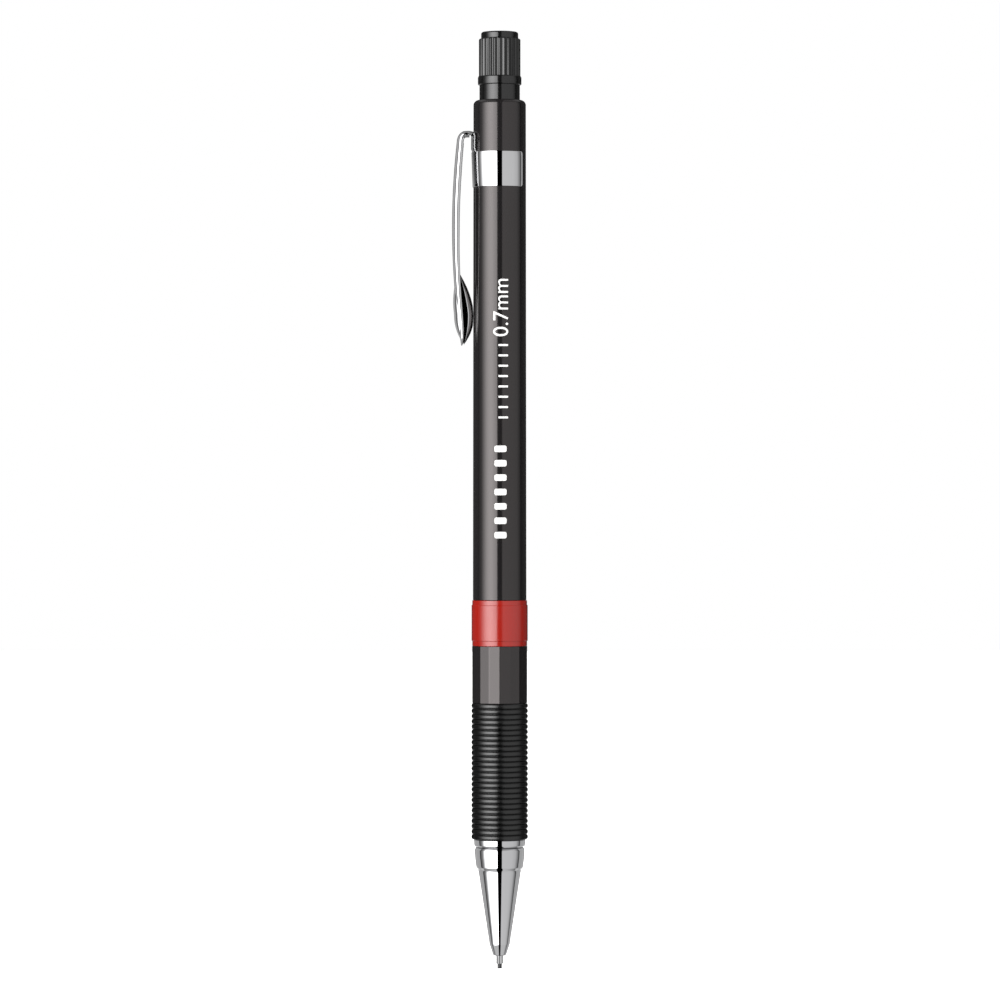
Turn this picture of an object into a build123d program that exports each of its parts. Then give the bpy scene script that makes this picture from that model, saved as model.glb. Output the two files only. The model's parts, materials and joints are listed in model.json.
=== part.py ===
from build123d import *
import math
import os

# A 0.7 mm push-button mechanical pencil, standing on its lead tip, in millimetres.
# The axis of the pencil is Z, the lead tip is at the origin and the clip is on the -X side.

os.makedirs("parts", exist_ok=True)

# ---------------------------------------------------------------- fits and clearances
SEAT_GAP = 0.03          # between turned faces of pieces that are fixed to each other
SLIDE_GAP = 0.05         # radial running clearance of pieces that slide
FACE_GAP = 0.05          # between end faces of pieces that move apart
OVERCUT = 1.0            # how far a cut runs on past the face it opens
MOULD_EDGE = 0.10        # small chamfer of the moulded pieces

# ---------------------------------------------------------------- lead
LEAD_RADIUS = 0.35
LEAD_LENGTH = 58.0
SPARE_LEAD_LENGTH = 60.0
SPARE_LEAD_COUNT = 3
SPARE_LEAD_CIRCLE = 1.1
SPARE_LEAD_LOW = 42.0
LEAD_TIP_ROUND = 0.08

# ---------------------------------------------------------------- outer stations along Z
PIPE_LOW = 0.73
CONE_LOW = 1.96
TAPER_BREAK = 3.70
TAPER_TOP = 14.70
TAPER_FILLET_TOP = 15.00
REAR_BAND_LOW = 15.36
REAR_BAND_BREAK = 16.80
REAR_BAND_TOP = 17.97
GROOVE_BOTTOM = 18.40
FERRULE_LOW = 18.69
GRIP_LOW = 19.57
GRIP_TOP = 40.28
COLLAR_LOW = 48.90
COLLAR_TOP = 55.86
BARREL_SHOULDER = 130.90
BARREL_TOP = 131.67
CAP_LOW = 133.96
KNURL_LOW = 135.28
KNURL_TOP = 140.97
CAP_TOP = 142.00

# ---------------------------------------------------------------- outer radii
PIPE_RADIUS = 0.50
CONE_TIP_RADIUS = 1.00
CONE_TIP_CHAMFER = 0.12
BREAK_RADIUS = 1.53
TAPER_TOP_RADIUS = 3.20
TAPER_FILLET_RADIUS = 3.28
REAR_BAND_RADII = (3.53, 3.72, 3.785)
GROOVE_RADIUS = 3.63
FERRULE_RADIUS = (3.85, 3.905)
GRIP_PEAK_RADIUS = 4.30
GRIP_VALLEY_RADIUS = 4.04
GRIP_INNER_RADIUS = 3.52
GRIP_RIB_COUNT = 26
GRIP_VALLEY_WIDTH = 0.10
FACET_COUNT = 16
FACET_CORNER_RADIUS = 4.18
COLLAR_RADIUS = 4.25
COLLAR_LIP_RADIUS = 4.15
COLLAR_LIP_LOW = 0.78
COLLAR_LIP_TOP = 0.72
BARREL_LOW_RADIUS = 4.05
BARREL_TOP_RADIUS = 3.97
NECK_RADIUS = 3.06
CAP_FLANGE_RADIUS = 3.30
KNURL_PEAK_RADIUS = 3.17
KNURL_VALLEY_RADIUS = 2.98
KNURL_COUNT = 26
CAP_DISK_RADIUS = 2.81
CAP_DISK_ROUND = 0.32
CAP_EDGE = 0.15
# Radius at each share of the knurl's pitch: a flat crest, then a V flank down to the valley.
KNURL_PROFILE = [
    (-0.14, KNURL_PEAK_RADIUS),
    (0.14, KNURL_PEAK_RADIUS),
    (0.43, KNURL_VALLEY_RADIUS),
    (0.57, KNURL_VALLEY_RADIUS),
]

# ---------------------------------------------------------------- clutch
RETAINER_LOW = 5.15
RETAINER_TOP = 7.15
RETAINER_RADIUS = 1.15
NOSE_CAVITY_RADIUS = 1.62
NOSE_CAVITY_TOP = 10.90
HOUSING_LOW = 11.60
HOUSING_TOP = 32.50
HOUSING_RADIUS = 2.34
HOUSING_FLANGE = (25.20, 26.20, 2.75)
RING_BORE_RADIUS = 1.75
WEB_LOW = 15.10
WEB_TOP = 16.10
WEB_HOLE_RADIUS = 1.15
SPRING_BORE_RADIUS = 1.95
SPIGOT_TOP = 25.10
NOSE_SPIGOT_RADIUS = 2.80
FERRULE_SKIRT_RADII = (3.10, 2.86)
FERRULE_SKIRT_TOP = 25.00
NOSE_BORE_RADIUS = 2.40
NOSE_BORE_LOW = 11.45
THREAD_PITCH = 0.50
THREAD_DEPTH = 0.12
THREAD_CREST = (0.35, 0.55, 0.90)
THREAD_RUN_OUT = (0.40, 0.20)
JAW_COUNT = 3
JAW_LOW = 10.20
JAW_ROOT = 18.00
JAW_STEM_RADIUS = 1.00
JAW_HEAD_RADIUS = 1.30
JAW_HEAD_CHAMFER = (0.30, 0.50)
JAW_BORE_RADIUS = 0.38
JAW_SLOT = 0.24
JAW_CONE_GAP = 0.05
CLUTCH_HALF_ANGLE = 14.0
RING_LOW = 12.35
RING_TOP = 14.95
RING_CONE_TOP = 14.00
RING_HOLE_RADIUS = 1.12
STEM_BORE_RADIUS = 0.45
STEM_TOP = 32.60
CONNECTOR_LOW = 29.90
CONNECTOR_FLANGE_TOP = 31.00
CONNECTOR_NECK_RADIUS = 1.60
CONNECTOR_SHOULDER = (36.00, 37.00, 2.20)
CONNECTOR_TOP = 41.00
CONNECTOR_BORE_RADIUS = 0.55
CONNECTOR_FUNNEL = (0.20, 1.40)
SPRING_WIRE_RADIUS = 0.15
SPRING_COIL_RADIUS = 1.68
SPRING_TURNS = 11
SPRING_END_GAP = 0.02

# ---------------------------------------------------------------- tubes, barrel inside, eraser
RESERVOIR_RADII = (2.20, 1.80)
RESERVOIR_TOP = 127.00
SLEEVE_LOW = 116.00
SLEEVE_LEAD_IN = (0.30, 0.60)
SPIGOT_RADIUS = 2.55
SPIGOT_LIP = 0.15
SLEEVE_TOP = 138.60
ERASER_POCKET_RADIUS = 2.12
ERASER_POCKET_LOW = 127.30
CUP_LOW = 127.80
CUP_TOP = 134.80
CUP_RADII = (2.05, 1.88)
CUP_FLOOR = 0.25
ERASER_TOP = 139.60
ERASER_ROUND = 0.25
CAP_CAVITY_RADIUS = 2.62
CAP_CAVITY_TOP = 140.30
CORE_RADIUS = 3.49
CORE_BORE_RADIUS = 3.13
CORE_WEB_TOP = 33.50
CORE_REAR_BORE_RADIUS = 2.60
JOINT_SPIGOT_RADIUS = 3.40
JOINT_SPIGOT_BORE = 2.90
JOINT_SPIGOT_TOP = 61.40
JOINT_SPIGOT_BORE_LOW = 48.40
JOINT_END_GAP = 0.10
BARREL_BORE_RADIUS = 3.30
BARREL_REAR_BORE_LOW = 127.50
BARREL_REAR_BORE_RADIUS = 3.12

# ---------------------------------------------------------------- clip
BAND_LOW = 118.45
BAND_TOP = 123.90
BAND_RADII = (4.10, 3.81)
BAND_GAP_HALF_ANGLE = 28.0
BAND_CORNER_ROUND = 0.45
RECESS_RADIUS = 3.78
RECESS_MARGIN = 0.12
RECESS_KEY_MARGIN = 2.0
CLIP_NECK_RADII = (4.34, 4.04)
CLIP_NECK_WIDTH = 4.0
NECK_BOX = (10.0, 12.0)
NECK_JOG = (0.30, 0.20)
NECK_CHAMFER = (0.10, 0.15)
CLIP_TOP = 127.00
CLIP_SPLIT_X = -4.36
CLIP_DEPTH = 1.15
BRIDGE_LOW = 126.15
BEND_START_X = -5.15
BEND_MIDDLE = (-6.10, 126.62)
BEND_DEPTH_SHARE = 0.85
ARM_BULGE_X = -7.22
ARM_BULGE_Z = 112.40
ARM_BOW_RADIUS = 117.0
ARM_WIDTH_TOP = 4.0
ARM_CROWN_SHARE = 0.76
ARM_FLAT_SHARE = 0.86
# Height of each station down the arm, then its depth and width as shares of the full ones.
ARM_STATIONS = [
    (125.50, 0.95, 1.00),
    (121.00, 1.00, 0.97),
    (112.40, 1.00, 0.88),
    (103.00, 0.85, 0.78),
    (98.50, 0.78, 0.72),
    (95.60, 0.55, 0.52),
    (94.45, 0.15, 0.20),
]
FOOT_AXIS_X = -5.40
FOOT_LOW = 94.60
FOOT_TOP = 104.20
FOOT_RADIUS = 1.52
FOOT_CLEARANCE = 0.06
FOOT_END_FLAT = 0.05
FOOT_STATIONS = 9
FOOT_REST = 0.30
FOOT_BOX = (10.0, 20.0)


def turned(outline):
    """Solid of revolution about Z from a closed outline of (radius, height) points."""
    edges = Polyline([(radius, 0, height) for radius, height in outline], close=True)
    return revolve(make_face(edges), axis=Axis.Z)


def tube(outer, inner, low, top):
    """Plain tube between two heights."""
    return turned([(inner, low), (outer, low), (outer, top), (inner, top)])


def rod(radius, low, top):
    """Plain rod between two heights."""
    return turned([(0, low), (radius, low), (radius, top), (0, top)])


def barrel_radius(height):
    """Outer radius of the barrel, which has a slight draft towards the cap."""
    share = (height - COLLAR_TOP) / (BARREL_SHOULDER - COLLAR_TOP)
    return BARREL_LOW_RADIUS + share * (BARREL_TOP_RADIUS - BARREL_LOW_RADIUS)


def pie(half_angle, low, top):
    """Wedge about +X, used to take a sector out of a turned piece."""
    reach = 8.0
    tip = (reach * math.cos(math.radians(half_angle)), reach * math.sin(math.radians(half_angle)))
    outline = Polyline((0, 0), (tip[0], -tip[1]), (reach, -tip[1]), (reach, tip[1]), tip, close=True)
    return Pos(0, 0, low) * extrude(make_face(outline), top - low)


def lead():
    """The lead in use: its tip writes, its far end stands in the lead tube."""
    body = rod(LEAD_RADIUS, 0, LEAD_LENGTH)
    return fillet(body.edges().sort_by(Axis.Z)[0], LEAD_TIP_ROUND)


def spare_lead(number):
    """One of the leads stored in the tube, standing off the axis."""
    angle = math.radians(number * 360 / SPARE_LEAD_COUNT)
    place = Pos(SPARE_LEAD_CIRCLE * math.cos(angle), SPARE_LEAD_CIRCLE * math.sin(angle), 0)
    return place * rod(LEAD_RADIUS, SPARE_LEAD_LOW, SPARE_LEAD_LOW + SPARE_LEAD_LENGTH)


def guide_pipe():
    """Thin steel pipe that the lead leaves through."""
    bore = LEAD_RADIUS + SLIDE_GAP
    return tube(PIPE_RADIUS, bore, PIPE_LOW, RETAINER_LOW - FACE_GAP)


def lead_retainer():
    """Rubber bush that keeps the lead from sliding back while the jaws are open."""
    bore = LEAD_RADIUS + SLIDE_GAP
    return tube(RETAINER_RADIUS, bore, RETAINER_LOW, RETAINER_TOP)


def nose_cone():
    """Turned cone with a step and a rear band, and a threaded spigot behind them."""
    band_low, band_middle, band_top = REAR_BAND_RADII
    root_radius = NOSE_SPIGOT_RADIUS - THREAD_DEPTH
    outline = [
        (PIPE_RADIUS + SEAT_GAP, CONE_LOW),
        (CONE_TIP_RADIUS - CONE_TIP_CHAMFER, CONE_LOW),
        (CONE_TIP_RADIUS, CONE_LOW + CONE_TIP_CHAMFER),
        (BREAK_RADIUS, TAPER_BREAK),
        (TAPER_TOP_RADIUS, TAPER_TOP),
        (TAPER_FILLET_RADIUS, TAPER_FILLET_TOP),
        (band_low, REAR_BAND_LOW),
        (band_middle, REAR_BAND_BREAK),
        (band_top, REAR_BAND_TOP),
        (GROOVE_RADIUS, GROOVE_BOTTOM - FACE_GAP / 2),
        (root_radius, GROOVE_BOTTOM - FACE_GAP / 2),
    ]
    run_in, run_out = THREAD_RUN_OUT
    rise, fall, foot = THREAD_CREST
    turns = int((SPIGOT_TOP - FERRULE_LOW - run_in - run_out) / THREAD_PITCH)
    for turn in range(turns):
        root = FERRULE_LOW + run_in + turn * THREAD_PITCH
        outline += [
            (root_radius, root),
            (NOSE_SPIGOT_RADIUS, root + THREAD_PITCH * rise),
            (NOSE_SPIGOT_RADIUS, root + THREAD_PITCH * fall),
            (root_radius, root + THREAD_PITCH * foot),
        ]
    outline += [
        (root_radius, SPIGOT_TOP),
        (NOSE_BORE_RADIUS, SPIGOT_TOP),
        (NOSE_BORE_RADIUS, NOSE_BORE_LOW),
        (NOSE_CAVITY_RADIUS, NOSE_CAVITY_TOP),
        (NOSE_CAVITY_RADIUS, RETAINER_TOP),
        (RETAINER_RADIUS + SEAT_GAP, RETAINER_TOP),
        (RETAINER_RADIUS + SEAT_GAP, RETAINER_LOW - FACE_GAP / 2),
        (PIPE_RADIUS + SEAT_GAP, RETAINER_LOW - FACE_GAP / 2),
    ]
    return turned(outline)


def front_ferrule():
    """Narrow ring in front of the grip, with the threaded skirt that the nose screws into."""
    ring_low, ring_top = FERRULE_RADIUS
    skirt_outer, skirt_inner = FERRULE_SKIRT_RADII
    return turned([
        (skirt_inner, GROOVE_BOTTOM + FACE_GAP / 2),
        (GROOVE_RADIUS, GROOVE_BOTTOM + FACE_GAP / 2),
        (ring_low, FERRULE_LOW),
        (ring_top, GRIP_LOW),
        (skirt_outer, GRIP_LOW),
        (skirt_outer, FERRULE_SKIRT_TOP),
        (skirt_inner, FERRULE_SKIRT_TOP),
    ])


def grip_sleeve():
    """Rubber sleeve with round ribs and narrow flat valleys."""
    low = GRIP_LOW + SEAT_GAP
    top = GRIP_TOP - SEAT_GAP
    pitch = (top - low) / GRIP_RIB_COUNT
    flat = GRIP_VALLEY_WIDTH / 2
    edges = Curve() + Line((GRIP_VALLEY_RADIUS, 0, top), (GRIP_INNER_RADIUS, 0, top))
    edges += Line((GRIP_INNER_RADIUS, 0, top), (GRIP_INNER_RADIUS, 0, low))
    edges += Line((GRIP_INNER_RADIUS, 0, low), (GRIP_VALLEY_RADIUS, 0, low))
    for rib in range(GRIP_RIB_COUNT):
        base = low + rib * pitch
        foot = (GRIP_VALLEY_RADIUS, 0, base + flat)
        crest = (GRIP_PEAK_RADIUS, 0, base + pitch / 2)
        head = (GRIP_VALLEY_RADIUS, 0, base + pitch - flat)
        edges += Line((GRIP_VALLEY_RADIUS, 0, base), foot)
        edges += ThreePointArc(foot, crest, head)
        edges += Line(head, (GRIP_VALLEY_RADIUS, 0, base + pitch))
    return revolve(make_face(edges.edges()), axis=Axis.Z)


def front_section():
    """Moulding with sixteen flats, the core under the grip and the spigot inside the barrel."""
    facets = extrude(RegularPolygon(FACET_CORNER_RADIUS, FACET_COUNT), COLLAR_LOW - GRIP_TOP)
    solid = Pos(0, 0, GRIP_TOP) * facets
    solid += rod(CORE_RADIUS, GRIP_LOW + SEAT_GAP, GRIP_TOP + OVERCUT)
    solid += rod(JOINT_SPIGOT_RADIUS, COLLAR_LOW - OVERCUT, JOINT_SPIGOT_TOP)
    flange_low, flange_top, _ = HOUSING_FLANGE
    solid -= rod(CORE_BORE_RADIUS, GRIP_LOW - OVERCUT, flange_top + SEAT_GAP)
    solid -= rod(HOUSING_RADIUS + SEAT_GAP, flange_top, CORE_WEB_TOP)
    solid -= rod(CORE_REAR_BORE_RADIUS, HOUSING_TOP + JOINT_END_GAP, COLLAR_LOW)
    solid -= rod(JOINT_SPIGOT_BORE, JOINT_SPIGOT_BORE_LOW, JOINT_SPIGOT_TOP + OVERCUT)
    return solid


def colour_collar():
    """Red ring with a low lip at each end, held between the two mouldings."""
    low = COLLAR_LOW + SEAT_GAP
    top = COLLAR_TOP - SEAT_GAP
    inner = JOINT_SPIGOT_RADIUS + SEAT_GAP
    return turned([
        (inner, low),
        (COLLAR_LIP_RADIUS - MOULD_EDGE, low),
        (COLLAR_LIP_RADIUS, low + MOULD_EDGE),
        (COLLAR_LIP_RADIUS, COLLAR_LOW + COLLAR_LIP_LOW),
        (COLLAR_RADIUS, COLLAR_LOW + COLLAR_LIP_LOW),
        (COLLAR_RADIUS, COLLAR_TOP - COLLAR_LIP_TOP),
        (COLLAR_LIP_RADIUS, COLLAR_TOP - COLLAR_LIP_TOP),
        (COLLAR_LIP_RADIUS, top - MOULD_EDGE),
        (COLLAR_LIP_RADIUS - MOULD_EDGE, top),
        (inner, top),
    ])


def barrel():
    """Long tube with a rounded rear shoulder and a shallow recess for the clip band."""
    spigot_bore = JOINT_SPIGOT_RADIUS + SEAT_GAP
    depth = BARREL_TOP_RADIUS - BARREL_REAR_BORE_RADIUS
    rise = BARREL_TOP - BARREL_SHOULDER
    half = math.sqrt(0.5)
    shoulder = ThreePointArc(
        (BARREL_TOP_RADIUS, 0, BARREL_SHOULDER),
        (BARREL_REAR_BORE_RADIUS + depth * half, 0, BARREL_SHOULDER + rise * half),
        (BARREL_REAR_BORE_RADIUS, 0, BARREL_TOP),
    )
    walls = Polyline(
        (BARREL_REAR_BORE_RADIUS, 0, BARREL_TOP),
        (BARREL_REAR_BORE_RADIUS, 0, BARREL_REAR_BORE_LOW),
        (BARREL_BORE_RADIUS, 0, BARREL_REAR_BORE_LOW),
        (BARREL_BORE_RADIUS, 0, JOINT_SPIGOT_TOP + JOINT_END_GAP),
        (spigot_bore, 0, JOINT_SPIGOT_TOP + JOINT_END_GAP),
        (spigot_bore, 0, COLLAR_TOP),
        (BARREL_LOW_RADIUS, 0, COLLAR_TOP),
        (BARREL_TOP_RADIUS, 0, BARREL_SHOULDER),
    )
    solid = revolve(make_face(walls.edges() + shoulder.edges()), axis=Axis.Z)
    low = BAND_LOW - RECESS_MARGIN
    top = BAND_TOP + RECESS_MARGIN
    key = pie(BAND_GAP_HALF_ANGLE - RECESS_KEY_MARGIN, low - OVERCUT, top + OVERCUT)
    recess = tube(BARREL_LOW_RADIUS + OVERCUT, RECESS_RADIUS, low, top) - key
    return solid - recess


def clip_band():
    """C band of the clip, open towards +X, with the curved neck that rises from it."""
    outer, inner = BAND_RADII
    neck_outer, neck_inner = CLIP_NECK_RADII
    sheet = outer - inner
    band = tube(outer, inner, BAND_LOW, BAND_TOP)
    band -= pie(BAND_GAP_HALF_ANGLE, BAND_LOW - OVERCUT, BAND_TOP + OVERCUT)
    ends = band.edges().filter_by(lambda edge: edge.center().X > 0 and edge.length < 2 * sheet)
    band = fillet(ends, BAND_CORNER_ROUND)
    jog_outer, jog_inner = NECK_JOG
    chamfer_width, chamfer_height = NECK_CHAMFER
    neck = turned([
        (inner, BAND_TOP - jog_outer),
        (outer, BAND_TOP - jog_outer),
        (neck_outer, BAND_TOP + jog_outer),
        (neck_outer, CLIP_TOP - chamfer_height),
        (neck_outer - chamfer_width, CLIP_TOP),
        (neck_inner, CLIP_TOP),
        (neck_inner, BAND_TOP + jog_inner),
        (inner, BAND_TOP),
    ])
    reach, height = NECK_BOX
    slab = Pos(-reach / 2, 0, BAND_TOP) * Box(reach, CLIP_NECK_WIDTH, height)
    return band + (neck & slab)


def arm_section(place, outward, depth, width):
    """D-shaped section of the arm: crowned outside, nearly flat towards the barrel."""
    crown = depth * ARM_CROWN_SHARE
    flat = width / 2 * ARM_FLAT_SHARE
    edges = Curve() + EllipticalCenterArc((0, 0), crown, width / 2, -90, arc_size=180)
    edges += Line((0, width / 2), (crown - depth, flat))
    edges += Line((crown - depth, flat), (crown - depth, -flat))
    edges += Line((crown - depth, -flat), (0, -width / 2))
    angle = math.radians(outward)
    across = (math.cos(angle), 0, math.sin(angle))
    along = (math.sin(angle), 0, -math.cos(angle))
    origin = (place[0] - across[0] * crown, 0, place[1] - across[2] * crown)
    return Plane(origin=origin, x_dir=across, z_dir=along) * make_face(edges.edges())


def arm_sections():
    """Sections from the bridge over the top bend and down the bowed arm to its tip."""
    bridge_depth = CLIP_TOP - BRIDGE_LOW
    sections = [
        arm_section((CLIP_SPLIT_X, CLIP_TOP), 90, bridge_depth, ARM_WIDTH_TOP),
        arm_section((BEND_START_X, CLIP_TOP), 90, bridge_depth, ARM_WIDTH_TOP),
        arm_section(BEND_MIDDLE, 135, CLIP_DEPTH * BEND_DEPTH_SHARE, ARM_WIDTH_TOP),
    ]
    bow_x = ARM_BULGE_X + ARM_BOW_RADIUS
    for height, depth_share, width_share in ARM_STATIONS:
        rise = math.asin((height - ARM_BULGE_Z) / ARM_BOW_RADIUS)
        place = (bow_x - ARM_BOW_RADIUS * math.cos(rise), height)
        depth = CLIP_DEPTH * depth_share
        width = ARM_WIDTH_TOP * width_share
        sections.append(arm_section(place, 180 - math.degrees(rise), depth, width))
    return sections


def foot_radius(height):
    """Radius of the spindle foot, an arc that meets its axis at both ends."""
    half = (FOOT_TOP - FOOT_LOW) / 2
    arc = (half ** 2 + FOOT_RADIUS ** 2) / (2 * FOOT_RADIUS)
    rise = height - FOOT_LOW - half
    return math.sqrt(arc ** 2 - rise ** 2) - arc + FOOT_RADIUS


def clip_foot():
    """Spindle-shaped foot inside the arm, hollowed where it faces the barrel."""
    middle = (FOOT_LOW + FOOT_TOP) / 2
    low = FOOT_LOW + FOOT_END_FLAT
    top = FOOT_TOP - FOOT_END_FLAT
    heights = [low + (top - low) * step / (FOOT_STATIONS - 1) for step in range(FOOT_STATIONS)]
    points = [(foot_radius(height), 0, height) for height in heights]
    edges = Curve() + Spline(points)
    edges += Line(points[-1], (0, 0, top))
    edges += Line((0, 0, top), (0, 0, low))
    edges += Line((0, 0, low), points[0])
    spindle = revolve(make_face(edges.edges()), axis=Axis.Z)
    width, height = FOOT_BOX
    behind = Pos(FOOT_AXIS_X - FOOT_REST - width / 2, 0, middle) * Box(width, width, height)
    face = rod(barrel_radius(middle) + FOOT_CLEARANCE, FOOT_LOW - OVERCUT, FOOT_TOP + OVERCUT)
    return Pos(FOOT_AXIS_X, 0, 0) * spindle - behind - face


def clip_arm():
    """Spring arm of the clip with its bridge and foot."""
    return loft(arm_sections()) + clip_foot()


def clutch_housing():
    """Sleeve held between nose and front section: clutch ring in front, spring behind a web."""
    flange_low, flange_top, flange_radius = HOUSING_FLANGE
    return turned([
        (RING_BORE_RADIUS, HOUSING_LOW),
        (HOUSING_RADIUS, HOUSING_LOW),
        (HOUSING_RADIUS, flange_low),
        (flange_radius, flange_low),
        (flange_radius, flange_top),
        (HOUSING_RADIUS, flange_top),
        (HOUSING_RADIUS, HOUSING_TOP),
        (SPRING_BORE_RADIUS, HOUSING_TOP),
        (SPRING_BORE_RADIUS, WEB_TOP),
        (WEB_HOLE_RADIUS, WEB_TOP),
        (WEB_HOLE_RADIUS, WEB_LOW),
        (RING_BORE_RADIUS, WEB_LOW),
    ])


def ring_cone_radius(height):
    """Radius of the cone in the clutch ring, which widens towards the front."""
    return RING_HOLE_RADIUS + (RING_CONE_TOP - height) * math.tan(math.radians(CLUTCH_HALF_ANGLE))


def clutch_ring():
    """Brass ring whose cone closes the jaws."""
    outer = RING_BORE_RADIUS - SLIDE_GAP
    return turned([
        (ring_cone_radius(RING_LOW), RING_LOW),
        (outer, RING_LOW),
        (outer, RING_TOP),
        (RING_HOLE_RADIUS, RING_TOP),
        (RING_HOLE_RADIUS, RING_CONE_TOP),
    ])


def collet_jaw(number):
    """One jaw: a third of a slotted sleeve with a conical head, hinged at its root."""
    slope = math.tan(math.radians(CLUTCH_HALF_ANGLE))
    stem_end = RING_CONE_TOP + (RING_HOLE_RADIUS - JAW_CONE_GAP - JAW_STEM_RADIUS) / slope
    head_end = RING_CONE_TOP + (RING_HOLE_RADIUS - JAW_CONE_GAP - JAW_HEAD_RADIUS) / slope
    chamfer_width, chamfer_height = JAW_HEAD_CHAMFER
    sleeve = turned([
        (JAW_BORE_RADIUS, JAW_LOW),
        (JAW_HEAD_RADIUS - chamfer_width, JAW_LOW),
        (JAW_HEAD_RADIUS, JAW_LOW + chamfer_height),
        (JAW_HEAD_RADIUS, head_end),
        (JAW_STEM_RADIUS, stem_end),
        (JAW_STEM_RADIUS, JAW_ROOT),
        (JAW_BORE_RADIUS, JAW_ROOT),
    ])
    half_angle = 180 / JAW_COUNT
    apex = JAW_SLOT / 2 / math.sin(math.radians(half_angle))
    wedge = Pos(apex, 0, 0) * pie(half_angle, JAW_LOW - OVERCUT, JAW_ROOT + OVERCUT)
    return Rot(0, 0, number * 360 / JAW_COUNT) * (sleeve & wedge)


def collet_base():
    """Brass stem that the jaws spring from."""
    return tube(JAW_STEM_RADIUS, STEM_BORE_RADIUS, JAW_ROOT + FACE_GAP, STEM_TOP)


def return_spring():
    """Coil spring between the web of the housing and the connector."""
    low = WEB_TOP + SPRING_WIRE_RADIUS + SPRING_END_GAP
    top = CONNECTOR_LOW - SPRING_WIRE_RADIUS - SPRING_END_GAP
    path = Helix((top - low) / SPRING_TURNS, top - low, SPRING_COIL_RADIUS, center=(0, 0, low))
    section = Plane(origin=path @ 0, z_dir=path % 0) * Circle(SPRING_WIRE_RADIUS)
    return sweep(section, path=path, is_frenet=True)


def tube_connector():
    """Moulding that joins stem and lead tube, with a funnel for the next lead."""
    shoulder_low, shoulder_top, shoulder_radius = CONNECTOR_SHOULDER
    seat = JAW_STEM_RADIUS + SEAT_GAP
    plug = RESERVOIR_RADII[1] - SEAT_GAP
    mouth_wall, funnel_depth = CONNECTOR_FUNNEL
    return turned([
        (seat, CONNECTOR_LOW),
        (SPRING_BORE_RADIUS - SLIDE_GAP, CONNECTOR_LOW),
        (SPRING_BORE_RADIUS - SLIDE_GAP, CONNECTOR_FLANGE_TOP),
        (CONNECTOR_NECK_RADIUS, CONNECTOR_FLANGE_TOP),
        (CONNECTOR_NECK_RADIUS, shoulder_low),
        (shoulder_radius, shoulder_low),
        (shoulder_radius, shoulder_top),
        (plug, shoulder_top),
        (plug, CONNECTOR_TOP),
        (plug - mouth_wall, CONNECTOR_TOP),
        (CONNECTOR_BORE_RADIUS, CONNECTOR_TOP - funnel_depth),
        (CONNECTOR_BORE_RADIUS, STEM_TOP + SEAT_GAP),
        (seat, STEM_TOP + SEAT_GAP),
    ])


def lead_reservoir():
    """Long tube that stores the spare leads and carries the push button."""
    outer, inner = RESERVOIR_RADII
    return tube(outer, inner, CONNECTOR_SHOULDER[1] + SEAT_GAP, RESERVOIR_TOP)


def push_sleeve():
    """Sleeve at the rear of the lead tube: neck, cap spigot and eraser pocket."""
    shoulder = CAP_LOW - SEAT_GAP
    seat = RESERVOIR_RADII[0] + SEAT_GAP
    lead_in_width, lead_in_height = SLEEVE_LEAD_IN
    return turned([
        (seat, SLEEVE_LOW),
        (NECK_RADIUS - lead_in_width, SLEEVE_LOW),
        (NECK_RADIUS, SLEEVE_LOW + lead_in_height),
        (NECK_RADIUS, shoulder),
        (SPIGOT_RADIUS, shoulder),
        (SPIGOT_RADIUS, SLEEVE_TOP - SPIGOT_LIP),
        (SPIGOT_RADIUS - SPIGOT_LIP, SLEEVE_TOP),
        (ERASER_POCKET_RADIUS, SLEEVE_TOP),
        (ERASER_POCKET_RADIUS, ERASER_POCKET_LOW),
        (seat, ERASER_POCKET_LOW),
    ])


def eraser_cup():
    """Thin metal cup that the eraser is pressed into."""
    outer, inner = CUP_RADII
    return rod(outer, CUP_LOW, CUP_TOP) - rod(inner, CUP_LOW + CUP_FLOOR, CUP_TOP + OVERCUT)


def eraser():
    """White eraser, standing out of its cup under the cap."""
    body = rod(CUP_RADII[1] - SEAT_GAP, CUP_LOW + CUP_FLOOR + SEAT_GAP, ERASER_TOP)
    return fillet(body.edges().sort_by(Axis.Z)[-1], ERASER_ROUND)


def knurl_outline():
    """Closed outline of the knurl: even ribs with flat crests and V flanks."""
    step = 360 / KNURL_COUNT
    points = []
    for rib in range(KNURL_COUNT):
        for offset, radius in KNURL_PROFILE:
            angle = math.radians((rib + offset) * step)
            points.append((radius * math.cos(angle), radius * math.sin(angle)))
    return make_face(Polyline(points, close=True))


def push_cap():
    """Push button: flange, knurled grip and a plain top disk, hollow over the eraser."""
    solid = turned([
        (0, CAP_LOW),
        (CAP_FLANGE_RADIUS - CAP_EDGE, CAP_LOW),
        (CAP_FLANGE_RADIUS, CAP_LOW + CAP_EDGE),
        (CAP_FLANGE_RADIUS, KNURL_LOW),
        (0, KNURL_LOW),
    ])
    solid += Pos(0, 0, KNURL_LOW) * extrude(knurl_outline(), KNURL_TOP - KNURL_LOW)
    disk = rod(CAP_DISK_RADIUS, KNURL_TOP, CAP_TOP)
    solid += fillet(disk.edges().sort_by(Axis.Z)[-1], CAP_DISK_ROUND)
    return solid - rod(CAP_CAVITY_RADIUS, CAP_LOW - OVERCUT, CAP_CAVITY_TOP)


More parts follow.
